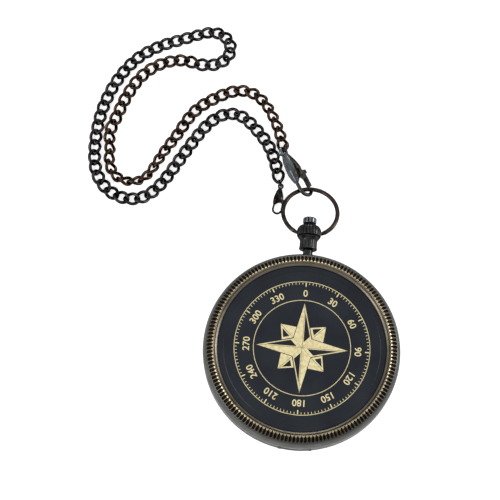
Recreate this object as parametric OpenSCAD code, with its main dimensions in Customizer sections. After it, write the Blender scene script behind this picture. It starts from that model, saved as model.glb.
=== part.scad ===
// Pocket compass with a hinged, push-button lid, a bow and a doubled curb chain.
// Millimetres. The lid faces +Z, the crown points along +Y, and the origin is the
// centre of the flat back face that the compass rests on.

/* [Case] */
// Outer diameter of the case and lid
case_d = 48; // [40:0.5:56]
// Width of the rounded edge round the back's flat resting face
back_round_w = 7; // [5:0.5:9]
// Height of the straight part of the wall above the rounded back
wall_straight_h = 1.92; // [1:0.02:2.5]
// Thickness of the case's side wall
case_wall = 2.4; // [2.2:0.1:2.8]
// Thickness of the back
back_wall = 1.2; // [1:0.1:1.3]
// Height of the ledge that the compass capsule sits on
ledge_z = 2.4; // [2.3:0.1:2.5]

/* [Lid] */
// Height of the lid, measured down from its top
lid_h = 4.8; // [4.6:0.1:5]
// How far inside the outer wall the rim is highest
crest_in = 2.3; // [1.9:0.1:2.8]
// Width of the rim round the dark disc
rim_w = 3.6; // [3:0.1:4.4]
// Thickness of the dark disc
plate_t = 0.75; // [0.6:0.05:0.8]
// Depth of the disc's face below the rim
plate_recess = 0.85; // [0.7:0.05:0.9]
// Number of notches round the rim
notch_count = 154; // [120:2:170]
// Width of one notch
notch_w = 0.45; // [0.3:0.05:0.5]

/* [Lid hinge] */
// Length of the hinge barrel
hinge_len = 8; // [6:0.5:9]
// Outer diameter of the hinge barrel
hinge_barrel_d = 1.7; // [1.6:0.05:1.8]
// Diameter of the hinge pin
hinge_pin_d = 0.7; // [0.6:0.05:0.8]

/* [Compass] */
// Width of the ring that centres the compass capsule in the case
ring_w = 2; // [1.8:0.1:2.4]
// Wall of the compass capsule
cup_wall = 0.7; // [0.6:0.05:0.8]
// Thickness of the dial card
dial_t = 0.3; // [0.2:0.05:0.4]
// Thickness of the glass
glass_t = 0.8; // [0.7:0.05:0.85]
// Height of the air over the dial, up to the glass's seat
air_h = 2.85; // [2.4:0.05:3.4]
// Gap between the needle's tips and the dial's edge
needle_end_gap = 3.8; // [1:0.1:6]
// Width of the needle at its middle
needle_w = 2.6; // [2.4:0.1:3.4]

/* [Crown and bow] */
// Depth of the crown's axis below the seam
crown_drop = 1.6; // [1.4:0.05:1.8]
// Diameter of the neck
neck_d = 2.44; // [2.3:0.02:2.6]
// Diameter of the collar
collar_d = 4.5; // [4:0.1:4.8]
// Diameter of the fluted ball
ball_d = 6.2; // [6:0.1:6.4]
// Diameter of the push button
button_d = 3.44; // [3.3:0.02:3.5]
// Travel of the push button
button_travel = 0.7; // [0.5:0.05:0.75]
// Radius of the bow, to the middle of its wire
bow_r = 6.9; // [6.5:0.1:7]
// Diameter of the bow's wire
bow_wire_d = 1.1; // [1:0.05:1.15]
// Angle by which the bow hangs below level at rest
bow_droop = 14.5; // [14:0.1:15]

/* [Chain] */
// Diameter of the chain's wire
link_wire_d = 0.68; // [0.5:0.02:0.7]
// Outer length of one link
link_len = 4.36; // [4.34:0.01:4.4]
// Outer width of one link
link_w = 3.2; // [3:0.05:3.25]

/* [Clasps] */
// Length of the clasp from its eye's centre to its nose
clasp_len = 13.65; // [13.4:0.05:14]
// Thickness of the clasp's body
clasp_t = 2.2; // [2:0.05:2.4]
// Diameter of the clasp's hook wire
hook_wire_d = 0.96; // [0.9:0.02:1]
// Size of the small clasp as a share of the large one
small_clasp_share = 0.55; // [0.5:0.01:0.6]

/* [Hidden] */

// Finishes as the photograph shows them
gunmetal = "#4b4d50";
bronze = "#6d5a44";
dark_brass = "#8a7a5c";
plate_black = "#20232b";
steel = "#9a9a98";
chain_brown = "#4a382c";
chain_black = "#2e2c30";

// Shared clearances
run_gap = 0.05;         // a running fit, on the radius
seam_gap = 0.06;        // between the lid and the case
side_gap = 0.06;        // between hinge knuckles
overrun = 1;            // how far a cutter passes a face
edge = 0.25;            // small edge break on the seam

// Case
case_r = case_d / 2;
flat_r = case_r - back_round_w;
cavity_r = case_r - case_wall;
well_r = flat_r - 0.5 * back_wall;

// Heights from the back up: dial, glass seat, cup, seam and top
cup_floor = 0.6;
gasket_t = 0.2;
bezel_t = 0.3;
cup_under = 0.12;
dial_z = ledge_z + cup_floor;
seat_z = dial_z + dial_t + air_h;
cup_top = seat_z + gasket_t + glass_t + bezel_t;
body_top = cup_top + cup_under;
seam_z = body_top + seam_gap / 2;
lid_bottom = seam_z + seam_gap / 2;
case_h = seam_z + lid_h;
back_round_h = body_top - edge - wall_straight_h;
arc_steps = 10;

// Lid: its wall at the bottom, the notched slope and the bevel inside the crest
crest_r = case_r - crest_in;
plate_r = case_r - rim_w;
crest_w = 0.12;
wall_arc_deg = 80;
lid_wall_h = 1;
notch_top_drop = 0.15;
notch_foot_drop = 1.2;
notch_foot_in = 0.85;
notch_depth = 0.3;
plate_z = case_h - plate_recess;
plate_step_in = 1.4;
plate_step_t = 0.12;
web_t = 0.6;
plate_seat_z = plate_z - plate_t;
lip_in = 2.1;
lip_h = 0.65;
groove_in = 1.6;
groove_h = 1.1;
plate_gap = 0.02;

// Lid hinge at the side opposite the crown
hinge_in = 0.85;
hinge_drop = 1;
hinge_y = -(case_r - hinge_in);
hinge_z = seam_z - hinge_drop;
knuckles = 5;
knuckle_len = hinge_len / knuckles;
pocket_gap = 0.3;
pocket_depth = 1.8;
pocket_y = hinge_y + hinge_barrel_d / 2 + pocket_gap;
pocket_z = hinge_z - pocket_depth;
knuckle_out = 0.5;
arm_in = 0.8;
arm_out = 0.4;

// Compass capsule
cup_r = cavity_r - ring_w;
seat_in = 0.4;
gasket_w = 0.85;
bezel_w = 0.65;
ring_h = 1.4;
glass_r = cup_r - seat_in - run_gap;
dial_r = cup_r - cup_wall - 2 * run_gap;
needle_len = 2 * (dial_r - needle_end_gap);
post_r = 0.5;
post_head_r = 1.1;
post_head_t = 0.5;
post_collar_r = 0.9;
post_collar_h = 0.6;
post_shaft_r = 0.45;
post_tip_h = 0.6;
jewel_gap = 0.05;
hub_r = 0.98;
hub_bore_r = 0.62;
hub_h = 1.3;
hub_flange_r = 1.3;
hub_flange_t = 0.2;
hub_flange_up = 0.45;
hub_gap = 0.43;
needle_t = 0.2;
jewel_r = 0.6;
jewel_h = 0.42;
jewel_cup_r = 0.3;
jewel_cup_h = 0.15;
hub_over_tip = jewel_gap + jewel_h - jewel_cup_h + 2 * hub_flange_t;
tip_z = seat_z + gasket_t - hub_gap - hub_over_tip;

// Springs along the inside of the case wall, and the catch that the button pushes
band_t = 0.5;
band_gap = 0.5;
band_r = cavity_r - band_gap;
band_up = 0.4;
band_z = ledge_z + ring_h + band_up;
band_h = 2.2;
foot_t = 0.5;
foot_deg = 10;
post_in = 0.05;
lock_start_deg = 12;
lock_catch_gap = 0.385;
lift_start_deg = 168;
lift_end_deg = 257;
lift_tip_deg = 4;
lift_tip_out = 0.85;
lift_tip_h = 0.5;
lift_slot_deg = 2;
screw_r = 0.4;
screw_head_r = 0.75;
screw_head_t = 0.45;
screw_len = 1.5;
catch_w = 3.2;
catch_t = 0.8;
catch_in = 0.35;
catch_gap = 0.1;
catch_y = cavity_r - catch_in;
catch_z = ledge_z + ring_h + catch_gap;
lock_end_deg = acos((catch_w / 2 + lock_catch_gap) / band_r);
hook_z = lid_bottom + lip_h + catch_gap;
hook_t = 0.5;
hook_reach = 0.45;

// Crown, outward from the case
neck_len = 2;
collar_len = 2.5;
ball_len = 3.9;
button_out = 2.1;
stem_d = 1.2;
crown_z = seam_z - crown_drop;
neck_out_y = case_r + neck_len;
ball_y0 = neck_out_y + collar_len;
ball_y = ball_y0 + ball_len / 2;
ball_y1 = ball_y0 + ball_len;
button_y1 = ball_y1 + button_out;
ball_top_r = 2.15;
ball_foot_r = 2.3;
groove_w = 0.35;
groove_deep = 0.3;
groove_up = 1;
groove_y = ball_y0 + groove_up;
ball_arc_degs = [-15, 75];
well_gap = 0.08;
button_skirt = 1;
button_well = button_skirt + 2 * button_travel;
neck_in_ball = 0.9;
flute_count = 24;
flute_r = 0.22;
button_flutes = 14;
button_flute_r = 0.2;
washer_d = 4.3;
washer_t = 0.45;
washer_under = 0.15;
washer_top = seam_z - washer_under;
stem_in_cap = 1.2;
spring_wire_d = 0.3;
spring_r = 1.25;
spring_turns = 3;

// Bow
bow_pin_d = 0.88;
bow_pin_in = 1.05;
bow_start_out = 0.65;
bow_root_x = ball_d / 2;
bow_root_in = 0.1;
bow_centre = sqrt(pow(bow_r, 2) - pow(bow_root_x - bow_root_in, 2));
bow_start_x = bow_root_x + bow_start_out;
bow_start_deg = asin(bow_start_x / bow_r);

// Chain: a link's middle line, its twist, and its facets
link_a = (link_len - link_wire_d) / 2;
link_b = (link_w - link_wire_d) / 2;
link_twist = 43;
link_rings = 12;
fold_rings = 16;
link_sides = 6;
link_slack = 0.22;
link_pitch = link_len - 2 * link_wire_d - link_slack;
strand_a_links = 40;
fold_links = 7;

// The chain's route on the table, from the large clasp round the fold to the small one:
// x and y from the ball's middle, and the angle by which the links there are rolled on edge
route = [
    [-7.9, 23.75, 22], [-8.7, 26.55, 26], [-9.6, 29.05, 32], [-11, 31.85, 36], [-12.8, 34.85, 34],
    [-15.5, 37.75, 22], [-19.5, 39.15, 8], [-23.5, 38.15, 0], [-27, 36.15, 0], [-30.8, 33.35, 4],
    [-33.4, 29.75, 10], [-35.5, 25.55, 18], [-38, 21.55, 28], [-40, 17.75, 37], [-42.4, 13.25, 48],
    [-44.4, 12.05, 44], [-48, 11.55, 45], [-50.3, 12.95, 46], [-52.3, 15.55, 42],
    [-52.5, 20.55, 52], [-53.3, 24.25, 32], [-51.9, 28.55, 30], [-50.3, 33.55, 28],
    [-48, 38.55, 32], [-44.8, 42.55, 42], [-40.5, 45.15, 52], [-35.6, 46.25, 49],
    [-32.7, 45.45, 34], [-27.7, 45.55, 4], [-25.3, 47.15, 0], [-23.5, 49.05, 0], [-24.5, 53.15, 2],
    [-28, 55.05, 6], [-32.4, 53.95, 14], [-36.5, 52.35, 0], [-42, 50.15, 0], [-47.5, 46.55, 0],
    [-51.5, 41.55, 0], [-54.2, 36.05, 0], [-55.9, 30.05, 0], [-56.6, 23.55, 0], [-56.4, 17.55, 0],
    [-55, 12.55, 0], [-51.5, 8.65, 0], [-46.5, 7.05, 0], [-41.8, 8.35, 0], [-38, 12.55, 0],
    [-34.5, 18.55, 0], [-31, 24.55, 0], [-27.5, 29.55, 0], [-23.4, 32.35, 0], [-19.4, 32.05, 0],
    [-16.3, 29.55, 0], [-13.6, 26.75, 0], [-11.5, 23.95, 0], [-10.2, 21.05, 4], [-9.2, 18.05, 10],
    [-8, 13.75, 14]];
route_steps = 8;

// Clasp, along X from its eye's centre, with the lever on the +Y side
eye_r = 1;
eye_wire_d = 0.84;
hook_r = 1.95;
hook_mid = 1;
hook_u = clasp_len - hook_r - hook_wire_d / 2;
hook_left = hook_mid - hook_r;
hook_right = hook_mid + hook_r;
hook_arm = 2.8;
clasp_front = hook_u - hook_arm;
clasp_eye_t = 1.1;
clasp_nose_t = 1.5;
lever_t = 1.1;
lever_gap = 0.06;
lever_u = 5.6;
lever_v = 1.3;
lever_tip_in = 0.32;
lever_tip = hook_u - lever_tip_in;
lever_heel = 0.75;
lever_w = 0.85;
rivet_d = 0.9;
rivet_head_d = 1.5;
rivet_head_t = 0.15;
tab_u = 6.5;
tab_w = 0.9;
tab_out = 4.1;
clasp_spring_t = 0.18;

// Where the clasps lie: the eye's centre, and the roll, pitch and heading of the body
clasp_side_x = -7.9;
clasp_out = 22.25;
clasp_drop = 3.05;
small_clasp_out = 13.5;
small_clasp_z = 1;
clasp_at = [clasp_side_x, ball_y + clasp_out, crown_z - clasp_drop];
clasp_turn = [-41.5, -1.9, -60.2];
small_clasp_at = [clasp_side_x, ball_y + small_clasp_out, small_clasp_z];
small_clasp_turn = [0, 4, -100];
jump_r = 1.5;
jump_wire_d = 0.6;
small_jump_r = 0.84;
small_jump_wire_d = 0.4;
jump_roll = 110;
small_jump_roll = 70;

// A quarter of an ellipse about [cr, cz], from the angle a0 to the angle a1
function arc_points(cr, cz, ar, az, a0, a1, n) =
    [for (i = [0:n]) let (a = a0 + (a1 - a0) * i / n) [cr + ar * cos(a), cz + az * sin(a)]];

// Outer shape of the rounded back, from the flat face up to the seam
function back_outline() = concat(
    arc_points(flat_r, back_round_h, case_r - flat_r, back_round_h, -90, 0, arc_steps),
    [[case_r, body_top - edge], [case_r - edge, body_top]]);

// Things that lie along the crown's axis, with their start at y
module along_y(y) {
    translate([0, y, crown_z]) rotate([-90, 0, 0]) children();
}

// A block between two angles of a ring, r0 to r1 and z0 to z0 + h
module ring_sector(r0, r1, z0, h, a0, a1) {
    translate([0, 0, z0]) rotate([0, 0, a0])
        rotate_extrude(angle = a1 - a0, $fn = 128) translate([r0, 0]) square([r1 - r0, h]);
}

module case_shape() {
    rotate_extrude($fn = 128) polygon(concat([[0, 0]], back_outline(),
        [[cavity_r, body_top], [cavity_r, ledge_z], [well_r, ledge_z],
         [well_r, back_wall], [0, back_wall]]));
}

module case_back() {
    color(gunmetal) difference() {
        case_shape();
        translate([-hinge_len / 2 - side_gap, -case_r - overrun, pocket_z])
            cube([hinge_len + 2 * side_gap, case_r + overrun + pocket_y, seam_z]);
        along_y(cavity_r - overrun)
            cylinder(h = case_wall + 2 * overrun, d = neck_d + plate_gap, $fn = 48);
        ring_sector(cavity_r - case_wall, band_r + lift_tip_out + edge, body_top - 2 * lift_tip_h,
            seam_z, lift_end_deg - lift_slot_deg, lift_end_deg + lift_tip_deg + lift_slot_deg);
    }
}

// One knuckle: a barrel with the pin's hole, and what joins it to its side
module knuckle(i, bore_d) {
    x0 = -hinge_len / 2 + i * knuckle_len + side_gap / 2;
    difference() {
        union() {
            translate([x0, hinge_y, hinge_z]) rotate([0, 90, 0])
                cylinder(h = knuckle_len - side_gap, d = hinge_barrel_d, $fn = 40);
            translate([x0, 0, 0]) children();
        }
        translate([x0 - overrun, hinge_y, hinge_z]) rotate([0, 90, 0])
            cylinder(h = knuckle_len + 2 * overrun, d = bore_d, $fn = 40);
    }
}

module case_knuckles() {
    color(gunmetal) for (i = [0:2:knuckles - 1]) knuckle(i, hinge_pin_d)
        translate([0, hinge_y - knuckle_out, pocket_z])
            cube([knuckle_len - side_gap, pocket_y - hinge_y + knuckle_out, pocket_depth]);
}

module lid_knuckles() {
    color(gunmetal) for (i = [1:2:knuckles - 2]) knuckle(i, hinge_pin_d + 2 * run_gap)
        translate([0, hinge_y - arm_out, hinge_z])
            cube([knuckle_len - side_gap, arm_in + arm_out, lid_bottom - hinge_z]);
}

module hinge_pin() {
    color(steel) translate([-hinge_len / 2, hinge_y, hinge_z]) rotate([0, 90, 0])
        cylinder(h = hinge_len, d = hinge_pin_d, $fn = 40);
}

// Ring that centres the capsule in the case and takes the spring screws
module capsule_ring() {
    color(dark_brass) difference() {
        translate([0, 0, ledge_z]) cylinder(h = ring_h, r = cavity_r - run_gap, $fn = 128);
        translate([0, 0, ledge_z - overrun])
            cylinder(h = ring_h + 2 * overrun, r = cup_r + run_gap, $fn = 128);
        at_screws() translate([0, 0, -overrun])
            cylinder(h = ring_h + 2 * overrun, r = screw_r + plate_gap, $fn = 32);
    }
}

// The two screws stand in the feet of the two springs
module at_screws() {
    for (a = [lock_start_deg + foot_deg / 2, lift_start_deg + foot_deg / 2])
        rotate([0, 0, a]) translate([(cup_r + cavity_r) / 2, 0, ledge_z]) children();
}

module spring_screws() {
    color(steel) at_screws() {
        translate([0, 0, ring_h + foot_t - screw_len]) cylinder(h = screw_len, r = screw_r, $fn = 32);
        translate([0, 0, ring_h + foot_t]) cylinder(h = screw_head_t, r = screw_head_r, $fn = 32);
    }
}

// A spring's foot lies on the capsule ring, and its band runs on along the wall
module spring_foot_and_band(a0, a1) {
    difference() {
        union() {
            ring_sector(cup_r + 3 * run_gap, band_r + band_gap - run_gap, ledge_z + ring_h, foot_t,
                a0, a0 + foot_deg);
            ring_sector(band_r - band_t + post_in, band_r - post_in, ledge_z + ring_h + post_in,
                band_z - ledge_z - ring_h + band_h - 2 * post_in,
                a0 + 0.9 * foot_deg, a0 + 1.3 * foot_deg);
            ring_sector(band_r - band_t, band_r, band_z, band_h, a0 + 1.2 * foot_deg, a1);
        }
        at_screws() cylinder(h = ring_h + band_h, r = screw_r + run_gap, $fn = 32);
    }
}

module lock_spring() {
    color(steel) spring_foot_and_band(lock_start_deg, lock_end_deg);
}

module lift_spring() {
    tip_z0 = body_top - lift_tip_h;
    color(steel) union() {
        spring_foot_and_band(lift_start_deg, lift_end_deg);
        ring_sector(band_r - band_t + post_in, band_r - post_in, band_z + post_in,
            tip_z0 + lift_tip_h / 2 - band_z - post_in,
            lift_end_deg - lift_tip_deg / 4, lift_end_deg + 0.9 * lift_tip_deg);
        ring_sector(band_r - band_t, band_r + lift_tip_out, tip_z0, lift_tip_h,
            lift_end_deg, lift_end_deg + lift_tip_deg);
    }
}

// Catch: a block inside the wall with a hook that reaches out over the lid's lip
module lock_catch() {
    color(steel) difference() {
        union() {
            translate([-catch_w / 2, catch_y - catch_t, catch_z])
                cube([catch_w, catch_t, hook_z + hook_t - catch_z]);
            translate([-catch_w / 2, catch_y - catch_t, hook_z])
                cube([catch_w, catch_t + hook_reach, hook_t]);
        }
    }
}

module compass_cup() {
    color(dark_brass) difference() {
        rotate_extrude($fn = 128) polygon([[0, ledge_z], [cup_r, ledge_z], [cup_r, cup_top],
            [cup_r - seat_in, cup_top], [cup_r - seat_in, seat_z], [cup_r - cup_wall, seat_z],
            [cup_r - cup_wall, dial_z], [0, dial_z]]);
        translate([0, 0, ledge_z - overrun])
            cylinder(h = cup_floor + 2 * overrun, r = post_r + plate_gap, $fn = 32);
    }
}

module dial_card() {
    color("#e9e4d4") difference() {
        translate([0, 0, dial_z]) cylinder(h = dial_t, r = dial_r, $fn = 128);
        translate([0, 0, dial_z - overrun])
            cylinder(h = dial_t + 2 * overrun, r = post_r + plate_gap, $fn = 32);
    }
}

module pivot_post() {
    collar_z = dial_z + dial_t;
    color(dark_brass) rotate_extrude($fn = 32) polygon([
        [0, ledge_z - post_head_t], [post_head_r, ledge_z - post_head_t], [post_head_r, ledge_z],
        [post_r, ledge_z], [post_r, collar_z], [post_collar_r, collar_z],
        [post_collar_r, collar_z + post_collar_h], [post_shaft_r, collar_z + post_collar_h],
        [post_shaft_r, tip_z - post_tip_h], [0, tip_z]]);
}

// The needle's strip carries the hub, and the hub holds the jewel on the post's tip
hub_z = tip_z + hub_over_tip - hub_flange_t - hub_h;
flange_z = hub_z + hub_flange_up;

module needle() {
    color("#b8b4a8") difference() {
        translate([0, 0, flange_z - needle_t]) linear_extrude(needle_t)
            polygon([[0, -needle_len / 2], [needle_w / 2, 0], [0, needle_len / 2], [-needle_w / 2, 0]]);
        translate([0, 0, flange_z - overrun]) cylinder(h = 2 * overrun, r = hub_r + plate_gap, $fn = 32);
    }
}

module needle_hub() {
    jewel_top = tip_z + jewel_gap + jewel_h - jewel_cup_h;
    color(dark_brass) rotate_extrude($fn = 40) polygon([
        [hub_bore_r, hub_z], [hub_r, hub_z], [hub_r, flange_z], [hub_flange_r, flange_z],
        [hub_flange_r, flange_z + hub_flange_t], [hub_r, flange_z + 2 * hub_flange_t],
        [hub_r / 3, hub_z + hub_h + hub_flange_t], [0, hub_z + hub_h + hub_flange_t],
        [0, jewel_top], [hub_bore_r, jewel_top]]);
}

module needle_jewel() {
    z0 = tip_z + jewel_gap - jewel_cup_h;
    color("#8c2238") rotate_extrude($fn = 32) polygon([
        [jewel_cup_r, z0], [jewel_r, z0], [jewel_r, z0 + jewel_h], [0, z0 + jewel_h],
        [0, z0 + jewel_cup_h]]);
}

module glass_gasket() {
    color("#26262a") ring_sector(glass_r - gasket_w, glass_r, seat_z, gasket_t, 0, 360);
}

module glass() {
    color("#cfe0e4", 0.35) translate([0, 0, seat_z + gasket_t])
        cylinder(h = glass_t, r = glass_r, $fn = 128);
}

module bezel_ring() {
    z0 = seat_z + gasket_t + glass_t;
    color(dark_brass) ring_sector(glass_r - bezel_w, glass_r, z0, cup_top - z0, 0, 360);
}

// The lid's rim in section, with the lip at its foot, and the web under the dark disc
module lid_shape() {
    wall_z = lid_bottom + lid_wall_h;
    foot_z = case_h - notch_foot_drop;
    foot_r = case_r - notch_foot_in;
    rotate_extrude($fn = 128) polygon(concat(
        [[case_r - lip_in, lid_bottom], [case_r - edge, lid_bottom], [case_r, lid_bottom + edge]],
        arc_points(foot_r, wall_z, case_r - foot_r, foot_z - wall_z, 0, wall_arc_deg, arc_steps),
        [[foot_r, foot_z], [crest_r + crest_w, case_h], [crest_r - crest_w, case_h],
         [plate_r + plate_gap, plate_z], [plate_r + plate_gap, plate_seat_z], [0, plate_seat_z],
         [0, plate_seat_z - web_t], [case_r - 1.6 * groove_in, plate_seat_z - web_t],
         [case_r - groove_in, lid_bottom + lip_h + groove_h],
         [case_r - groove_in, lid_bottom + lip_h], [case_r - lip_in, lid_bottom + lip_h]]));
}

// One notch lies on the slope between the crest and the rim's outer wall
module notch() {
    r0 = crest_r + crest_w;
    r1 = case_r - notch_foot_in;
    slope = atan2(notch_foot_drop, r1 - r0);
    run = sqrt(pow(notch_foot_drop, 2) + pow(r1 - r0, 2)) - notch_top_drop;
    translate([r1, 0, case_h - notch_foot_drop]) rotate([0, slope, 0])
        translate([-run, -notch_w / 2, -notch_depth]) cube([run, notch_w, 2 * notch_depth]);
}

module lid_rim() {
    color(bronze) difference() {
        lid_shape();
        for (i = [0:notch_count - 1]) rotate([0, 0, i * 360 / notch_count]) notch();
    }
}

module lid_plate() {
    color(plate_black) union() {
        translate([0, 0, plate_seat_z]) cylinder(h = plate_t - plate_step_t, r = plate_r, $fn = 128);
        translate([0, 0, plate_seat_z]) cylinder(h = plate_t, r = plate_r - plate_step_in, $fn = 128);
    }
}

// Washer that follows the curve of the case round the neck
module saddle_washer() {
    color(gunmetal) difference() {
        along_y(case_r - washer_t) cylinder(h = 2 * washer_t, d = washer_d, $fn = 48);
        cylinder(h = case_h, r = case_r + plate_gap, $fn = 128);
        translate([-washer_d, 0, washer_top]) cube([2 * washer_d, 2 * case_r, case_h]);
        along_y(cavity_r) cylinder(h = case_wall + 2 * overrun, d = neck_d + plate_gap, $fn = 48);
    }
}

module neck_tube() {
    y0 = cavity_r + edge / 2;
    color(gunmetal) along_y(y0) difference() {
        cylinder(h = ball_y0 + neck_in_ball - y0, d = neck_d, $fn = 48);
        translate([0, 0, -overrun])
            cylinder(h = ball_y1, d = stem_d + 2 * run_gap, $fn = 40);
    }
}

module collar() {
    flare = 0.18;
    foot_h = 0.5;
    color(gunmetal) along_y(neck_out_y) rotate_extrude($fn = 64) polygon([
        [neck_d / 2 + plate_gap, 0], [collar_d / 2 - flare, 0], [collar_d / 2, flare],
        [collar_d / 2, foot_h], [collar_d / 2 - flare, foot_h + flare],
        [collar_d / 2 - flare, collar_len], [neck_d / 2 + plate_gap, collar_len]]);
}

// Fluted ball: a squat ball with a groove, a well for the button and a hole for each bow end
module crown_ball() {
    r = ball_d / 2;
    half = ball_len / 2;
    color(gunmetal) along_y(ball_y) difference() {
        rotate_extrude($fn = 96) polygon(concat([[0, -half], [ball_foot_r, -half]],
            [[r - 2 * groove_deep, groove_y - ball_y - groove_w / 2],
             [r - 1.6 * groove_deep, groove_y - ball_y + groove_w / 2]],
            arc_points(ball_top_r - groove_deep, 0, r - ball_top_r + groove_deep, half,
                ball_arc_degs[0], ball_arc_degs[1], arc_steps),
            [[ball_top_r - groove_deep, half], [0, half]]));
        for (i = [0:flute_count - 1]) rotate([0, 0, (i + 0.5) * 360 / flute_count])
            translate([r + flute_r / 3, 0, groove_y - ball_y + groove_w])
                cylinder(h = ball_len, r = flute_r, $fn = 16);
        translate([0, 0, half - button_well])
            cylinder(h = button_well + overrun, d = button_d + 2 * well_gap, $fn = 64);
        translate([0, 0, -half - overrun])
            cylinder(h = ball_len, d = stem_d + 2 * run_gap, $fn = 40);
        translate([0, 0, -half - overrun])
            cylinder(h = neck_in_ball + overrun + plate_gap, d = neck_d + plate_gap, $fn = 48);
        for (s = [-1, 1]) rotate([0, s * 90, 0]) translate([0, 0, r - bow_pin_in - 2 * run_gap])
            cylinder(h = bow_pin_in + overrun, d = bow_pin_d + 2 * run_gap, $fn = 40);
    }
}

module button_cap() {
    skirt_y = ball_y1 - button_skirt;
    h = button_y1 - skirt_y;
    dome = 0.25;
    color(gunmetal) along_y(skirt_y) difference() {
        rotate_extrude($fn = 64) polygon([[0, 0], [button_d / 2, 0], [button_d / 2, h - dome],
            [button_d / 2 - dome, h], [0, h]]);
        translate([0, 0, -overrun]) cylinder(h = stem_in_cap + overrun, d = stem_d + plate_gap, $fn = 40);
        for (i = [0:button_flutes - 1]) rotate([0, 0, i * 360 / button_flutes])
            translate([button_d / 2 + button_flute_r / 3, 0, button_skirt + dome])
                cylinder(h = h, r = button_flute_r, $fn = 16);
    }
}

module button_stem() {
    y0 = catch_y + run_gap;
    color(steel) along_y(y0)
        cylinder(h = ball_y1 - button_skirt + stem_in_cap - y0, d = stem_d, $fn = 40);
}

// A coil of round wire: rings of points set along a helix and joined into a tube
module helix(r, wire_d, turns, h, sides, per_turn) {
    n = turns * per_turn;
    pts = [for (i = [0:n]) for (j = [0:sides - 1])
        let (a = 360 * i / per_turn, b = 360 * j / sides, q = r + wire_d / 2 * cos(b))
            [q * cos(a), q * sin(a), h * i / n + wire_d / 2 * sin(b)]];
    walls = [for (i = [0:n - 1]) for (j = [0:sides - 1])
        let (k = (j + 1) % sides, p = i * sides) each
            [[p + j, p + k + sides, p + k], [p + j, p + j + sides, p + k + sides]]];
    caps = [[for (j = [0:sides - 1]) j], [for (j = [sides - 1:-1:0]) n * sides + j]];
    polyhedron(points = pts, faces = concat(walls, caps), convexity = 8);
}

module button_spring() {
    y0 = ball_y1 - button_well + spring_wire_d / 2 + plate_gap;
    y1 = ball_y1 - button_skirt - spring_wire_d / 2 - plate_gap;
    color(steel) along_y(y0) helix(spring_r, spring_wire_d, spring_turns, y1 - y0, 6, 16);
}

// Bow: a round wire whose two pins enter the ball's side holes
module bow() {
    pin_x = ball_d / 2 - bow_pin_in;
    color(bronze) translate([0, ball_y, crown_z]) rotate([-bow_droop, 0, 0]) union() {
        translate([0, bow_centre, 0]) rotate([0, 0, -90 + bow_start_deg])
            rotate_extrude(angle = 360 - 2 * bow_start_deg, $fn = 96)
                translate([bow_r, 0]) circle(d = bow_wire_d, $fn = 40);
        for (s = [-1, 1]) {
            translate([s * bow_start_x, bow_centre - bow_r * cos(bow_start_deg), 0])
                sphere(d = bow_wire_d, $fn = 40);
            translate([s * pin_x, 0, 0]) rotate([0, s * 90, 0])
                cylinder(h = bow_start_x - pin_x, d = bow_pin_d, $fn = 40);
        }
    }
}

// Smooth curve through the route's points
function curve_at(a, b, c, d, t) = 0.5 * (2 * b + (c - a) * t
    + (2 * a - 5 * b + 4 * c - d) * t * t + (3 * b - a - 3 * c + d) * t * t * t);
route_here = [for (p = route) p + [0, ball_y, 0]];
route_ends = concat([2 * route_here[0] - route_here[1]], route_here,
    [2 * route_here[len(route) - 1] - route_here[len(route) - 2]]);
route_curve = concat(
    [for (i = [0:len(route) - 2]) for (j = [0:route_steps - 1])
        curve_at(route_ends[i], route_ends[i + 1], route_ends[i + 2], route_ends[i + 3],
            j / route_steps)], [route_here[len(route) - 1]]);

// Distance on the table between two points of the route
function flat_dist(p, q) = norm([q[0] - p[0], q[1] - p[1]]);
// Index of the last curve point that is nearer to p than one link's pitch
function reach(p, k) = k + 1 >= len(route_curve) || flat_dist(p, route_curve[k + 1]) >= link_pitch
    ? k : reach(p, k + 1);
// The point one pitch on from p, as [point, index], or undef past the end
function next_joint(p, k0) = let (k = reach(p, k0))
    k + 1 >= len(route_curve) ? undef :
    let (a = route_curve[k], b = route_curve[k + 1], d0 = flat_dist(p, a), d1 = flat_dist(p, b))
        [a + (b - a) * (link_pitch - d0) / (d1 - d0), k];
chain_joints = [for (s = [route_curve[0], 0]; s != undef; s = next_joint(s[0], s[1])) s[0]];
link_count = len(chain_joints) - 1;

// Height of a link's middle when it lies on the table, rolled by this angle
function link_rise(roll) = link_wire_d / 2 + link_b
    * max([for (t = [0:5:355]) abs(sin(t) * sin(link_twist * cos(t) + roll))]);

// A point on the link's middle line, twisted along its length
function link_point(t, roll) = let (w = link_twist * cos(t) + roll)
    [link_a * cos(t), link_b * sin(t) * cos(w), link_b * sin(t) * sin(w)];

// One twisted link, closed on itself
module curb_link(roll, rings) {
    step = 360 / rings;
    pts = [for (i = [0:rings - 1]) for (j = [0:link_sides - 1])
        let (p = link_point(i * step, roll),
             q = link_point(i * step + 1, roll) - link_point(i * step - 1, roll),
             t = q / norm(q),
             n = p - t * (p * t), u = n / norm(n), v = cross(t, u), b = 360 * j / link_sides)
            p + link_wire_d / 2 * (u * cos(b) + v * sin(b))];
    faces = [for (i = [0:rings - 1]) for (j = [0:link_sides - 1])
        let (k = (j + 1) % link_sides, p = i * link_sides,
             q = ((i + 1) % rings) * link_sides) each
            [[p + j, q + k, p + k], [p + j, q + j, q + k]]];
    polyhedron(points = pts, faces = faces, convexity = 4);
}

// The links from number i0 to number i1, each between two joints of the route
module chain_links(i0, i1, rings) {
    for (i = [i0:i1]) {
        a = chain_joints[i];
        b = chain_joints[i + 1];
        m = (a + b) / 2;
        translate([m[0], m[1], link_rise(m[2])]) rotate([0, 0, atan2(b[1] - a[1], b[0] - a[0])])
            curb_link(m[2], rings);
    }
}

module chain_strand_a() {
    color(chain_brown) chain_links(0, strand_a_links - 1, link_rings);
}

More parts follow.
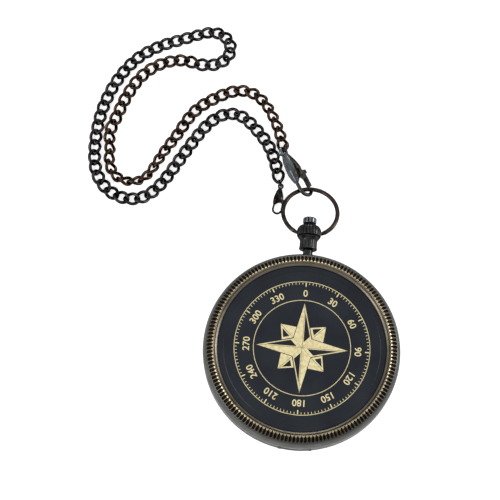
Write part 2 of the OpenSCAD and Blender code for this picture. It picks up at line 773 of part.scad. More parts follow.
module chain_fold() {
    color(chain_black) chain_links(strand_a_links,
        strand_a_links + fold_links - 1, fold_rings);
}

module chain_strand_b() {
    color(chain_black) chain_links(strand_a_links + fold_links, link_count - 1,
        link_rings);
}

// A plain ring that joins the chain to a clasp's eye
module jump_ring(r, wire_d, at, toward, roll) {
    d = [toward[0] - at[0], toward[1] - at[1]];
    heading = atan2(d[1], d[0]);
    lift = atan2(toward[2] - at[2], norm(d));
    translate(at) rotate([0, 0, heading]) rotate([roll, -lift, 0]) translate([r, 0, 0])
        rotate_extrude($fn = 64) translate([r, 0]) circle(d = wire_d, $fn = 24);
}

module clasp_jump_ring() {
    p = chain_joints[0];
    color(bronze) jump_ring(jump_r, jump_wire_d, clasp_at, [p[0], p[1], link_rise(p[2])], jump_roll);
}

module small_clasp_jump_ring() {
    p = chain_joints[link_count];
    color(chain_black) jump_ring(small_jump_r, small_jump_wire_d, small_clasp_at,
        [p[0], p[1], link_rise(p[2])], small_jump_roll);
}

// The clasp's body from above, and from its side, as shares of its length to the front
clasp_edge_shares = [[0.1, -0.08], [0.35, -0.17], [0.7, -0.225], [0.95, -0.21], [1, -0.15],
    [1, -0.045], [0.93, 0.08], [0.88, 0.27], [0.6, 0.31], [0.3, 0.18], [0.1, 0.08]];
clasp_thick_shares = [0.45, 0.8];

module clasp_outline() {
    polygon([for (p = clasp_edge_shares) clasp_front * p]);
}

module clasp_side() {
    u = clasp_front * clasp_thick_shares;
    nose = clasp_front + overrun;
    polygon([[0, -clasp_eye_t / 2], [u[0], -clasp_t / 2], [u[1], -clasp_t / 2],
        [nose, -clasp_nose_t / 2], [nose, clasp_nose_t / 2],
        [u[1], clasp_t / 2], [u[0], clasp_t / 2], [0, clasp_eye_t / 2]]);
}

module clasp_body_shape() {
    slot_t = lever_t + 2 * lever_gap;
    difference() {
        union() {
            rotate_extrude($fn = 48) translate([eye_r, 0]) circle(d = eye_wire_d, $fn = 24);
            difference() {
                intersection() {
                    linear_extrude(height = clasp_t + overrun, center = true) clasp_outline();
                    rotate([90, 0, 0]) linear_extrude(height = clasp_len, center = true) clasp_side();
                }
                translate([lever_u - 1.3 * tab_w, lever_v - 1.2 * tab_w, -slot_t / 2])
                    cube([clasp_len, clasp_len, slot_t]);
            }
            translate([clasp_front - hook_wire_d, hook_left, 0]) rotate([0, 90, 0])
                cylinder(h = hook_u - clasp_front + hook_wire_d, d = hook_wire_d, $fn = 32);
            translate([hook_u, hook_mid, 0]) rotate([0, 0, -90])
                rotate_extrude(angle = 180, $fn = 64)
                    translate([hook_r, 0]) circle(d = hook_wire_d, $fn = 32);
        }
        translate([lever_u, lever_v, -clasp_t]) cylinder(h = 2 * clasp_t, d = rivet_d, $fn = 32);
    }
}

// The lever closes the hook's open side, and its tab is what a thumb pulls
module clasp_lever_shape() {
    heel = lever_heel;
    inner = hook_right - lever_w / 2;
    outer = hook_right + lever_w / 2;
    color(steel) difference() {
        translate([0, 0, -lever_t / 2]) linear_extrude(lever_t)
            polygon([[lever_u - heel, lever_v - heel / 2], [lever_u + heel, lever_v - heel],
                [lever_u + 2.6 * heel, lever_v + 0.4 * heel], [lever_u + 3.7 * heel, inner],
                [lever_tip, inner], [lever_tip, outer], [tab_u + 2 * tab_w, outer],
                [tab_u + tab_w, outer], [tab_u + tab_w / 2, tab_out], [tab_u - tab_w / 2, tab_out],
                [tab_u - tab_w / 2, inner + lever_w / 4], [lever_u - heel, lever_v + heel]]);
        translate([lever_u, lever_v, -clasp_t])
            cylinder(h = 2 * clasp_t, d = rivet_d + 2 * run_gap, $fn = 32);
    }
}

module clasp_rivet_shape() {
    half = clasp_t / 2;
    color(steel) translate([lever_u, lever_v, 0]) {
        translate([0, 0, -half]) cylinder(h = clasp_t, d = rivet_d, $fn = 32);
        for (s = [-1, 1]) translate([0, 0, s * (half + rivet_head_t / 2) - rivet_head_t / 2])
            cylinder(h = rivet_head_t, d = rivet_head_d, $fn = 32);
    }
}

// A small leaf behind the lever's heel, inside the body's slot
module clasp_spring_shape() {
    color(steel) translate([lever_u - 1.25 * tab_w, lever_v - tab_w, -lever_t / 3])
        cube([clasp_spring_t, 1.6 * tab_w, lever_t / 1.5]);
}

module place_clasp() {
    translate(clasp_at) rotate(clasp_turn) children();
}

module place_small_clasp() {
    translate(small_clasp_at) rotate(small_clasp_turn)
        scale([small_clasp_share, small_clasp_share, small_clasp_share]) children();
}

module clasp_body() { color(gunmetal) place_clasp() clasp_body_shape(); }
module clasp_lever() { place_clasp() clasp_lever_shape(); }
module clasp_rivet() { place_clasp() clasp_rivet_shape(); }
module clasp_spring() { place_clasp() clasp_spring_shape(); }
module small_clasp_body() { color(gunmetal) place_small_clasp() clasp_body_shape(); }
module small_clasp_lever() { place_small_clasp() clasp_lever_shape(); }
module small_clasp_rivet() { place_small_clasp() clasp_rivet_shape(); }
module small_clasp_spring() { place_small_clasp() clasp_spring_shape(); }

case_back();
case_knuckles();
hinge_pin();
capsule_ring();
compass_cup();
dial_card();
pivot_post();
needle();
needle_hub();
needle_jewel();
glass_gasket();
glass();
bezel_ring();
lock_spring();
lift_spring();
spring_screws();
lock_catch();
lid_rim();
lid_knuckles();
lid_plate();
saddle_washer();
neck_tube();
collar();
crown_ball();
button_cap();
button_stem();
button_spring();
bow();
clasp_body();
clasp_lever();
clasp_rivet();
clasp_spring();
clasp_jump_ring();
small_clasp_body();
small_clasp_lever();
small_clasp_rivet();
small_clasp_spring();
small_clasp_jump_ring();
chain_strand_a();
chain_fold();
chain_strand_b();
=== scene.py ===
"""Looks of the pocket compass: plated metals, the printed lid, the chain and the dial.

Sizes are in millimetres in the tables below and become metres by MM. The frame is the part's own:
the origin is the middle of the flat back, +Z leaves the lid and +Y points along the crown.
"""

import bpy
import numpy as np
from mathutils import Matrix


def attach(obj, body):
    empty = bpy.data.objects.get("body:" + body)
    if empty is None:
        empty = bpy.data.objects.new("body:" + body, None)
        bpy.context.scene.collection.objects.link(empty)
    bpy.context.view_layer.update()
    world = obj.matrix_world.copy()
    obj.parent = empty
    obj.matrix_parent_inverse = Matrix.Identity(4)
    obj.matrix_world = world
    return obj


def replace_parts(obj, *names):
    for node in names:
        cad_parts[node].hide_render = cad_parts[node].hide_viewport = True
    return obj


MM = 0.001
TURN = 2 * np.pi

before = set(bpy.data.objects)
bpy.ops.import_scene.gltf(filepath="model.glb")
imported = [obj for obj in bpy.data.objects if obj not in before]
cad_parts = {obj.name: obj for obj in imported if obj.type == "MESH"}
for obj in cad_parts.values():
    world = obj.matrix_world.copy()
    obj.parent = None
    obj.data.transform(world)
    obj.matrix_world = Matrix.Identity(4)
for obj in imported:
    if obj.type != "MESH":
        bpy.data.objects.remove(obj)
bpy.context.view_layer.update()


# ------ meshes

def mesh_piece(name, points, faces, materials, body, smooth=True, face_material=None):
    """A mesh object from points in millimetres, that rides on a CAD body. face_material gives,
    for each face, its place in the list of materials."""
    mesh = bpy.data.meshes.new(name)
    mesh.from_pydata((np.asarray(points) * MM).tolist(), [], [tuple(map(int, f)) for f in faces])
    for m in materials:
        mesh.materials.append(m)
    if face_material is not None:
        mesh.polygons.foreach_set("material_index", np.asarray(face_material, dtype=np.int32))
    mesh.polygons.foreach_set("use_smooth", np.full(len(mesh.polygons), bool(smooth)))
    mesh.update()
    piece = bpy.data.objects.new(name, mesh)
    bpy.context.scene.collection.objects.link(piece)
    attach(piece, body)
    return piece


def grid_faces(rows, cols, wrap_rows=False, start=0):
    """Quads over a grid of points, joined round the columns and, if asked, round the rows.
    start is the number of the grid's first point."""
    i = np.arange(rows if wrap_rows else rows - 1)[:, None]
    j = np.arange(cols)[None, :]
    i1, j1 = (i + 1) % rows, (j + 1) % cols
    quads = np.stack([i * cols + j, i * cols + j1, i1 * cols + j1, i1 * cols + j], axis=-1)
    return quads.reshape(-1, 4) + start


def revolve(profile, cols):
    """Points of a profile (radius, height) turned round Z, one circle to a row: x is the radius
    times the angle's cosine, and y the radius times its sine."""
    a = np.arange(cols) * TURN / cols
    r, z = np.asarray(profile, float).T
    return np.stack([r[:, None] * np.cos(a), r[:, None] * np.sin(a),
                     np.repeat(z[:, None], cols, axis=1)], axis=-1)


def lathe(profile, cols, dent=None):
    """A profile (radius, height) turned round Z, as points and faces. Where it starts or ends on
    the axis it closes with a fan, and otherwise its last point joins its first. dent gives, from
    the rows' radii and heights and the columns' angles, how far each point is pulled inward."""
    p = np.asarray(profile, float)
    points = revolve(p, cols)
    if dent is not None:
        a = np.arange(cols) * TURN / cols
        pull = dent(p[:, :1], p[:, 1:], a[None, :])
        points[..., 0] -= pull * np.cos(a)
        points[..., 1] -= pull * np.sin(a)
    if p[0, 0] > 0:
        return points.reshape(-1, 3), grid_faces(len(p), cols, wrap_rows=True).tolist()
    n = len(p) - 2
    faces = grid_faces(n, cols).tolist()
    tail = (n - 1) * cols
    for j in range(cols):
        k = (j + 1) % cols
        faces += [(n * cols, k, j), (n * cols + 1, tail + j, tail + k)]
    return np.concatenate([points[1:-1].reshape(-1, 3), points[0, :1], points[-1, :1]]), faces


def outward(points, faces):
    """The faces of a closed shape, all turned over if its volume comes out negative. The volume
    goes with the sum, over the faces' triangles, of the first corner dotted with the cross
    product of the other two."""
    p = np.asarray(points)
    fans = [(f[0], f[k], f[k + 1]) for f in faces for k in range(1, len(f) - 1)]
    a, b, c = (p[[f[k] for f in fans]] for k in range(3))
    if np.einsum("ij,ij->i", a, np.cross(b, c)).sum() < 0:
        return [tuple(reversed(f)) for f in faces]
    return faces


def middles(points, faces):
    """The middle of each face."""
    return np.array([np.mean(points[list(f)], axis=0) for f in faces])


def capped(rings):
    """The points of a row of rings, and the faces between them with both ends closed."""
    n, m = rings.shape[:2]
    faces = grid_faces(n, m).tolist()
    return rings.reshape(-1, 3), faces + [tuple(range(m - 1, -1, -1)),
                                          tuple(range((n - 1) * m, n * m))]


def joined(parts):
    """Several closed (points, faces) shapes as one, each with its faces outward."""
    points, faces, start = [], [], 0
    for p, f in parts:
        faces += [tuple(start + k for k in face) for face in outward(p, f)]
        points.append(p)
        start += len(p)
    return np.concatenate(points), faces


def turned(deg):
    """The matrix that turns about X, then Y, then Z: the product of the three plain turns."""
    (cx, cy, cz), (sx, sy, sz) = np.cos(np.radians(deg)), np.sin(np.radians(deg))
    rx = np.array([[1, 0, 0], [0, cx, -sx], [0, sx, cx]])
    ry = np.array([[cy, 0, sy], [0, 1, 0], [-sy, 0, cy]])
    rz = np.array([[cz, -sz, 0], [sz, cz, 0], [0, 0, 1]])
    return rz @ ry @ rx


def smooth_profile(corners, radius, steps=5):
    """A profile with each corner replaced by a short curve: points at that distance before and
    after the corner are joined by a quadratic curve whose handle is the corner."""
    p = np.asarray(corners, float)
    out = [p[0]]
    for a, b, c in zip(p[:-2], p[1:-1], p[2:]):
        q = min(radius, 0.45 * np.linalg.norm(b - a), 0.45 * np.linalg.norm(c - b))
        s = b + (a - b) / np.linalg.norm(a - b) * q
        e = b + (c - b) / np.linalg.norm(c - b) * q
        for t in np.linspace(0, 1, steps):
            out.append((1 - t) ** 2 * s + 2 * t * (1 - t) * b + t * t * e)
    out.append(p[-1])
    return np.array(out)


def densify(profile, step):
    """The same profile with no stretch longer than the step."""
    out = [profile[0]]
    for a, b in zip(profile[:-1], profile[1:]):
        n = max(1, int(np.ceil(np.linalg.norm(b - a) / step)))
        out.extend(a + (b - a) * k / n for k in range(1, n + 1))
    return np.array(out)


def ramp(x, lo, hi):
    """Nought below lo and one above hi, and level at both. Between them it is three times the
    square of the share of the way, less twice its cube."""
    t = np.clip((x - lo) / (hi - lo), 0.0, 1.0)
    return t * t * (3 - 2 * t)


def tube(path, radius, sides):
    """A tube round a path: at each point a ring of that many sides, in the plane across the path.
    A ring's point is the path's, plus the radius times the angle's cosine to the side and its sine
    upwards. The side is carried along by projecting the last one."""
    p = np.asarray(path, float)
    n = len(p)
    along = np.gradient(p, axis=0)
    along /= np.linalg.norm(along, axis=1)[:, None]
    r = np.broadcast_to(np.asarray(radius, float), n)
    b = np.arange(sides) * TURN / sides
    first = np.cross(along[0], [0.0, 0.0, 1.0])
    if np.linalg.norm(first) < 0.2:
        first = np.cross(along[0], [1.0, 0.0, 0.0])
    side = first / np.linalg.norm(first)
    rings = np.empty((n, sides, 3))
    for k in range(n):
        side = side - along[k] * (side @ along[k])
        side /= np.linalg.norm(side)
        up = np.cross(along[k], side)
        rings[k] = p[k] + r[k] * (np.cos(b)[:, None] * side + np.sin(b)[:, None] * up)
    return rings


def closed_rings(path, radius, sides):
    """Rings round a closed path, as a tube's. The side is away from the path's middle, so that the
    last ring meets the first."""
    centre = path.mean(axis=0)
    along = np.roll(path, -1, axis=0) - np.roll(path, 1, axis=0)
    along /= np.linalg.norm(along, axis=1)[:, None]
    out = path - centre
    out -= along * np.sum(out * along, axis=1)[:, None]
    out /= np.linalg.norm(out, axis=1)[:, None]
    up = np.cross(along, out)
    b = (np.arange(sides) * TURN / sides)[None, :, None]
    return path[:, None] + radius * (np.cos(b) * out[:, None] + np.sin(b) * up[:, None])


# ------ materials

# Noise scales are cells to a metre of Object coordinates. Depths of relief are in metres.
GRAIN = 5200.0
BUMP_DEPTH = 0.00002


def hexc(text):
    """A colour as a paint chart gives it, as the linear light that Blender mixes: a value up to
    0.04045 is divided by 12.92, and any other, with 0.055 added, is divided by 1.055 and raised to
    the power 2.4."""
    v = np.array([int(text[i:i + 2], 16) for i in (1, 3, 5)]) / 255.0
    lin = np.where(v <= 0.04045, v / 12.92, ((v + 0.055) / 1.055) ** 2.4)
    return (*lin.tolist(), 1.0)


def add(tree, kind, ins=None, **props):
    """One new node, with its settings and with each input set to a value or joined to a socket."""
    node = tree.nodes.new(kind)
    for key, value in props.items():
        setattr(node, key, value)
    for key, value in (ins or {}).items():
        if isinstance(value, bpy.types.NodeSocket):
            tree.links.new(value, node.inputs[key])
        else:
            node.inputs[key].default_value = value
    return node


def new_material(name):
    """An empty node material: its tree, its shader and its object coordinates."""
    mat = bpy.data.materials.new(name)
    mat.use_nodes = True
    tree = mat.node_tree
    tree.nodes.clear()
    out = add(tree, "ShaderNodeOutputMaterial")
    shader = add(tree, "ShaderNodeBsdfPrincipled")
    tree.links.new(shader.outputs["BSDF"], out.inputs["Surface"])
    coords = add(tree, "ShaderNodeTexCoord")
    return mat, tree, shader, coords.outputs["Object"]


def noise(tree, vector, scale, detail=3.0):
    """Soft cloudy values from 0 to 1, centred on a half."""
    values = {"Vector": vector, "Scale": scale, "Detail": detail, "Roughness": 0.55}
    return add(tree, "ShaderNodeTexNoise", values).outputs["Fac"]


def spread(tree, value, lo, hi, out_lo, out_hi):
    """The value stretched from one range to another and held inside it."""
    return add(tree, "ShaderNodeMapRange", {"Value": value, "From Min": lo, "From Max": hi,
                                            "To Min": out_lo, "To Max": out_hi}).outputs["Result"]


def blend_colour(tree, fac, a, b):
    """Colour a where fac is 0 and colour b where it is 1."""
    return add(tree, "ShaderNodeMix", {"Factor": fac, 6: a, 7: b}, data_type="RGBA").outputs[2]


def tinted(tree, shader, fac, a, b):
    """The shader's colour goes from a to b with fac."""
    tree.links.new(blend_colour(tree, fac, a, b), shader.inputs["Base Color"])


def roughened(tree, shader, value, lo, hi):
    """The shader's roughness goes from lo to hi over the middle of the value's range."""
    tree.links.new(spread(tree, value, 0.3, 0.7, lo, hi), shader.inputs["Roughness"])


def bumped(tree, shader, height, strength, depth=BUMP_DEPTH):
    """Fine relief of that depth, which tilts the light by that strength."""
    lift = add(tree, "ShaderNodeBump", {"Height": height, "Strength": strength, "Distance": depth})
    tree.links.new(lift.outputs["Normal"], shader.inputs["Normal"])


def stretched(tree, coords, scale):
    """The coordinates multiplied axis by axis: a pattern becomes fine across the larger ones, which
    the eye reads as lines from a brush or a lathe."""
    return add(tree, "ShaderNodeMapping", {"Vector": coords, "Scale": scale}).outputs["Vector"]


def plated(name, main, patch, rough=(0.22, 0.4), patch_scale=350.0, bump=0.12, metallic=1.0,
           streak=None, edge=0.45):
    """Plated metal: two tones in soft patches, a roughness that wanders, and a fine cast grain.
    edge is how light the metal stays where it is seen at a glancing angle: oxidised plating goes
    dark there."""
    mat, tree, shader, coords = new_material(name)
    patches = spread(tree, noise(tree, coords, patch_scale, 4.0), 0.38, 0.66, 0.0, 1.0)
    tinted(tree, shader, patches, main, patch)
    roughened(tree, shader, noise(tree, coords, patch_scale * 2.3), *rough)
    shader.inputs["Metallic"].default_value = metallic
    shader.inputs["Specular Tint"].default_value = (edge, edge, edge, 1.0)
    grain = stretched(tree, coords, streak) if streak else coords
    bumped(tree, shader, noise(tree, grain, GRAIN, 2.0), bump)
    return mat


# Smooth dark plating of the case: the eye sees long soft reflections with slight clouding.
GUNMETAL = plated("gunmetal_plating", hexc("#5f605f"), hexc("#4d4e4d"), (0.27, 0.34), bump=0.05)
# Dark patina and painted shade: almost black with patches of brown, in the lid's notches, the
# crown's valleys and grooves, and the clasps' slots.
PATINA_AND_SHADE = plated("patina_and_painted_shade", hexc("#120f0c"), hexc("#241a10"), (0.4, 0.6), patch_scale=900.0)
# Crown and collar: nearly black plating whose edges catch the light.
CROWN = plated("black_gunmetal_plating", hexc("#383a3a"), hexc("#1f2121"), (0.18, 0.3), bump=0.06)
# The button's cap: the same plating worn to silver grey, brighter than the crown round it.
BUTTON = plated("silvered_gunmetal", hexc("#6b6f73"), hexc("#3c4044"), (0.18, 0.3))
# The bow: brown-grey wire, smooth enough for narrow lights along it, and dark at its sides.
BOW = plated("bronze_grey_wire", hexc("#37322e"), hexc("#231f1c"), (0.16, 0.28), patch_scale=500.0,
             edge=0.25)
# The clasps' castings are dark and a little uneven, with soft broad lights.
CLASP = plated("gunmetal_casting", hexc("#424340"), hexc("#252523"), (0.2, 0.32), patch_scale=420.0)
# Painted highlight: the side of the clasp that the light falls on gets this lighter copy of the
# casting's metal.
CLASP_PAINTED_HIGHLIGHT = plated("clasp_painted_highlight", hexc("#64696c"), hexc("#3f4447"), (0.18, 0.3))
# The links: small sharp lights on dark wire, which is worn to brown on the first strand.
CHAIN_BROWN = plated("antique_brown_plating", hexc("#44342a"), hexc("#0c0705"), (0.14, 0.26),
                     patch_scale=700.0, edge=0.25)
CHAIN_BLACK = plated("black_chain_plating", hexc("#383536"), hexc("#070607"), (0.13, 0.25),
                     patch_scale=700.0, edge=0.25)
# Springs, screws and rivets: pale bare steel with short soft lights.
STEEL = plated("spring_steel", hexc("#a3a29e"), hexc("#85837d"), (0.2, 0.32), patch_scale=800.0)
# The capsule's rings: warm brass with the fine lines of a lathe round it.
BRASS = plated("turned_brass", hexc("#a8926a"), hexc("#8a734c"), (0.26, 0.36), patch_scale=420.0,
               streak=(1.0, 1.0, 12.0))
# The lid's inside: even satin gold with hardly any grain.
GOLD_INNER = plated("satin_gold_plating", hexc("#a8936b"), hexc("#97825a"), (0.3, 0.36),
                    patch_scale=180.0, bump=0.04)


def by_radius(tree, coords, stops):
    """A colour that depends on the distance from the Z axis, which is the coordinates' length
    without their Z. stops are (millimetres, colour)."""
    level = stretched(tree, coords, (1.0, 1.0, 0.0))
    r = add(tree, "ShaderNodeVectorMath", {0: level}, operation="LENGTH")
    lo, hi = stops[0][0], stops[-1][0]
    fac = spread(tree, r.outputs["Value"], lo * MM, hi * MM, 0.0, 1.0)
    node = add(tree, "ShaderNodeValToRGB", {"Fac": fac})
    marks = node.color_ramp.elements
    marks[0].color, marks[1].color = stops[0][1], stops[-1][1]
    for at, colour in stops[1:-1]:
        marks.new((at - lo) / (hi - lo)).color = colour
    return node.outputs["Color"]


def rim_material():
    """The lid's rim: dull bronze on the bevel, a bright gold line on the ridges just outside the
    crest, where the plating is worn through to brass and a painted glint lies on top, and grey
    plating further out and on the outer wall."""
    mat, tree, shader, coords = new_material("worn_bronze_rim_with_painted_glint")
    # The stops from 21.3 to 21.62 mm make the gold line: worn brass brightened by a painted glint.
    base = by_radius(tree, coords, [
        (20.4, hexc("#46423b")), (20.75, hexc("#686257")), (21.1, hexc("#877f6e")),
        (21.3, hexc("#857b66")), (21.4, hexc("#92876e")), (21.62, hexc("#c4b898")),
        (21.8, hexc("#6e6656")), (22.0, hexc("#5a554c")), (22.3, hexc("#4c4a46")),
        (22.95, hexc("#42423f")), (23.25, hexc("#515250")), (23.9, hexc("#626361"))])
    cloudy = spread(tree, noise(tree, coords, 300.0, 4.0), 0.35, 0.65, 0.0, 0.35)
    tinted(tree, shader, cloudy, base, hexc("#35322d"))
    roughened(tree, shader, noise(tree, coords, 700.0), 0.24, 0.4)
    shader.inputs["Metallic"].default_value = 1.0
    shader.inputs["Specular Tint"].default_value = (0.6, 0.6, 0.6, 1.0)
    bumped(tree, shader, noise(tree, coords, GRAIN, 2.0), 0.1)
    return mat


def plate_material():
    """Satin blue-black lacquer: dark, softly mottled, with a fine brushed grain along X."""
    mat, tree, shader, coords = new_material("blue_black_lacquer")
    mottled = spread(tree, noise(tree, coords, 120.0, 5.0), 0.35, 0.7, 0.0, 1.0)
    tinted(tree, shader, mottled, hexc("#060c18"), hexc("#1a2027"))
    fine = noise(tree, stretched(tree, coords, (1.0, 18.0, 1.0)), 900.0)
    roughened(tree, shader, fine, 0.32, 0.46)
    shader.inputs["Specular IOR Level"].default_value = 0.25
    bumped(tree, shader, fine, 0.1)
    return mat


def print_material(name, light, dark, rough):
    """Printed figure: even colour with slight wear, so that its edges aren't dead flat."""
    mat, tree, shader, coords = new_material(name)
    worn = spread(tree, noise(tree, coords, 1400.0, 4.0), 0.35, 0.62, 0.0, 1.0)
    tinted(tree, shader, worn, dark, light)
    shader.inputs["Roughness"].default_value = rough
    return mat


def card_material():
    """Ivory dial card: fine paper mottle under a matt varnish."""
    mat, tree, shader, coords = new_material("ivory_dial_card")
    fibre = noise(tree, coords, 2600.0, 5.0)
    tinted(tree, shader, fibre, hexc("#e4dcc8"), hexc("#f0e9da"))
    roughened(tree, shader, fibre, 0.45, 0.6)
    return mat


def glass_material():
    """Clear flat glass with the faintest ripple."""
    mat, tree, shader, coords = new_material("clear_glass")
    shader.inputs["Base Color"].default_value = hexc("#fcfdfd")
    shader.inputs["Roughness"].default_value = 0.02
    shader.inputs["Transmission Weight"].default_value = 1.0
    shader.inputs["IOR"].default_value = 1.35
    bumped(tree, shader, noise(tree, coords, 60.0), 0.02, 0.00005)
    return mat


def needle_material():
    """Painted steel: red on the half that points north, cream on the other, both satin."""
    mat, tree, shader, coords = new_material("painted_needle")
    y = add(tree, "ShaderNodeSeparateXYZ", {"Vector": coords}).outputs["Y"]
    north = spread(tree, y, 0.0001, 0.0003, 0.0, 1.0)
    mottled = noise(tree, coords, 1500.0)
    south = blend_colour(tree, mottled, hexc("#e8e4da"), hexc("#d2cec2"))
    red = blend_colour(tree, mottled, hexc("#b01a1c"), hexc("#8f1114"))
    tinted(tree, shader, north, south, red)
    shader.inputs["Roughness"].default_value = 0.35
    return mat


RIM = rim_material()
PLATE = plate_material()
# The lid's figure reads as pale gold, and the dial's as black and red ink.
PRINT = print_material("cream_gold_print", hexc("#f2e6b8"), hexc("#d8c78c"), 0.42)
INK = print_material("black_dial_ink", hexc("#1b1b1e"), hexc("#2a2a2e"), 0.5)
RED_INK = print_material("red_dial_ink", hexc("#a51f1f"), hexc("#8a1818"), 0.5)
CARD = card_material()
GLASS = glass_material()
NEEDLE = needle_material()
# The gasket takes the light up, and the needle's jewel is a smooth deep red point.
RUBBER = plated("black_rubber", hexc("#1c1c1e"), hexc("#252527"), (0.6, 0.75), metallic=0.0)
JEWEL = plated("red_jewel", hexc("#8c1a30"), hexc("#a52a40"), (0.05, 0.1), metallic=0.0, bump=0.0)


# ------ lid

NOTCHES, NOTCH_COLS = 154, 8         # how many, and the mesh's columns to each
NOTCH_R, NOTCH_Z = 22.2, 11.95       # the middle of a notch
NOTCH_HALF_W, NOTCH_HALF_L, NOTCH_DEEP = 0.29, 0.96, 0.3
NOTCH_FROM_R, NOTCH_FROM_Z = 21.3, 10.9
NOTCH_DARK = 0.06                    # from this depth on a face takes the dark patina and painted shade
SLOPE_COS, SLOPE_SIN = 0.833, 0.553  # the slope that the notches lie on
INSIDE_R, INSIDE_Z = 22.6, 10.35     # the lid's inside lies below and within these
PLATE_Z, SEAT_Z = 11.55, 10.8        # the disc's top, and the seat that it lies on


def rim_profile():
    """The lid's section from the middle of the disc's seat over the crest and down the wall to the
    lip and back inside. The outer wall is a quarter of an ellipse, the visible corners are
    softened, and the notched slope has a point each tenth of a millimetre."""
    a = np.radians(np.linspace(76, 4, 14))
    wall = np.stack([22.7 + 1.3 * np.cos(a), 8.66 + 2.78 * np.sin(a)], axis=1)
    crest = smooth_profile([(0.0, SEAT_Z), (20.42, SEAT_Z), (20.42, 11.44), (20.6, 11.5),
                            (20.9, 11.74), (21.15, 12.1), (21.33, 12.36), (21.5, 12.38),
                            (22.94, 11.43), wall[0]], 0.07, 4)
    foot = smooth_profile([wall[-1], (24.0, 7.9), (23.76, 7.63), (21.9, 7.63)], 0.06, 3)
    inside = [(21.9, 8.28), (22.4, 8.28), (22.4, 9.36), (21.44, 10.2), (0.0, 10.2)]
    slope = int(np.argmax(crest[:, 0] > NOTCH_FROM_R))
    return np.concatenate([crest[:slope], densify(crest[slope - 1:-1], 0.1)[1:], wall[:-1], foot,
                           inside])


def notch_depth(r, z, a):
    """Depth of the notches at a radius, height and angle. Each is a squared oval dip: its depth
    goes with the square root of one less two fourth powers, of the distance along the slope in
    half lengths and of that round the rim in half widths. It narrows towards the crest, so that
    the ridges end in teeth."""
    along = (r - NOTCH_R) * SLOPE_COS - (z - NOTCH_Z) * SLOPE_SIN
    across = ((a / TURN * NOTCHES + 0.5) % 1.0 - 0.5) * TURN * NOTCH_R / NOTCHES
    width = NOTCH_HALF_W * (1 - 0.8 * ramp(-along, 0.2, 1.0))
    shape = (np.abs(along) / NOTCH_HALF_L) ** 4 + (np.abs(across) / width) ** 4
    near = (r > NOTCH_FROM_R) & (z > NOTCH_FROM_Z)
    return NOTCH_DEEP * np.clip(1.0 - shape, 0.0, 1.0) ** 0.5 * near


def rim_mesh():
    """Turns the section round Z, presses the notches into the slope outside the crest, and tells
    rim, the notches' patina and painted shade, and gold inside apart by where each face lies."""
    points, faces = lathe(rim_profile(), NOTCHES * NOTCH_COLS)
    p = points.copy()
    angle, r = np.arctan2(p[:, 1], p[:, 0]), np.hypot(p[:, 0], p[:, 1])
    depth = notch_depth(r, p[:, 2], angle % TURN)
    points[:, 0] -= SLOPE_SIN * depth * np.cos(angle)
    points[:, 1] -= SLOPE_SIN * depth * np.sin(angle)
    points[:, 2] -= SLOPE_COS * depth
    f = np.array([tuple(q) if len(q) == 4 else (*q, q[2]) for q in faces])
    mid_r, mid_z, mid_d = r[f].mean(axis=1), p[f, 2].mean(axis=1), depth[f].mean(axis=1)
    which = np.where(mid_d > NOTCH_DARK, 1, 0)
    which[(mid_z < INSIDE_Z) & (mid_r < INSIDE_R)] = 2
    return mesh_piece("lid_rim_notched", points, outward(points, faces),
                      [RIM, PATINA_AND_SHADE, GOLD_INNER], "lid", face_material=which)


def plate_mesh():
    """The dark disc: its middle stands a tenth of a millimetre over its border, whose edge is
    rounded, and its underside lies a hair over the seat."""
    top = smooth_profile([(0.0, PLATE_Z), (18.9, PLATE_Z), (19.05, PLATE_Z - 0.1),
                          (20.25, PLATE_Z - 0.12), (20.38, PLATE_Z - 0.24), (20.38, SEAT_Z + 0.01),
                          (0.0, SEAT_Z + 0.01)], 0.06, 4)
    points, faces = lathe(top, 256)
    return mesh_piece("lid_disc", points, outward(points, faces), [PLATE], "lid")


# ------ crown and bow

CROWN_Z, BALL_Y = 6.0, 30.45         # the crown's axis, and the ball's middle along it
RIBS, BUTTON_RIBS, COLLAR_FLATS = 24, 12, 16
RIB_DEEP, BUTTON_RIB_DEEP, FLAT_DEEP = 0.17, 0.26, 0.05
PIT_R, PIT_FLOOR = 0.5, 2.02         # the pit for the bow's end, in each side of the ball
# The bow's circle: its radius, its middle out from the ball, half the gap that it leaves, how far
# from the crown's axis its ends stop in the ball, and how many degrees it hangs down.
BOW_R, BOW_MID, BOW_X, BOW_PIN_X, BOW_DROOP = 6.9, 6.214, 3.75, 2.06, 14.5


def along_crown(points):
    """A shape turned round Z laid along the crown's own axis, which runs along +Y."""
    p = np.asarray(points)
    return np.stack([p[:, 0], p[:, 2], CROWN_Z - p[:, 1]], axis=1)


def ball_dent(r, y, a):
    """Flat-topped ribs above the groove, and a pit at each side for the bow's end. The valleys
    between the ribs lie where the sine of half the ribs times the angle is small."""
    ribs = RIB_DEEP * (1 - ramp(np.abs(np.sin(RIBS / 2 * a)), 0.12, 0.62))
    pull = ribs * ramp(y, 29.66, 29.78) * (1 - ramp(y, 32.1, 32.3)) * (r > 1.95)
    side = np.minimum.reduce([np.abs(a), np.abs(a - TURN), np.abs(a - TURN / 2)])
    pit = (np.hypot(y - BALL_Y, 3.05 * side) < PIT_R) & (r > 2.6)
    return np.where(pit, r - PIT_FLOOR, pull)


def valleys(points, faces, ribs, lo, hi, shift=0.0, width=0.34):
    """1 for each face in the valleys between that many ribs, from one height to another, else 0:
    there the sine of half the ribs times the angle is below width."""
    mid = middles(points, faces)
    near = np.abs(np.sin(ribs / 2 * np.arctan2(mid[:, 1], mid[:, 0]) + shift)) < width
    return (near & (mid[:, 2] > lo) & (mid[:, 2] < hi)).astype(int)


def groove(points, faces, lo, hi, r):
    """1 for each face between two heights and outside that radius, else 0."""
    mid = middles(points, faces)
    return ((mid[:, 2] > lo) & (mid[:, 2] < hi) & (np.hypot(mid[:, 0], mid[:, 1]) > r)).astype(int)


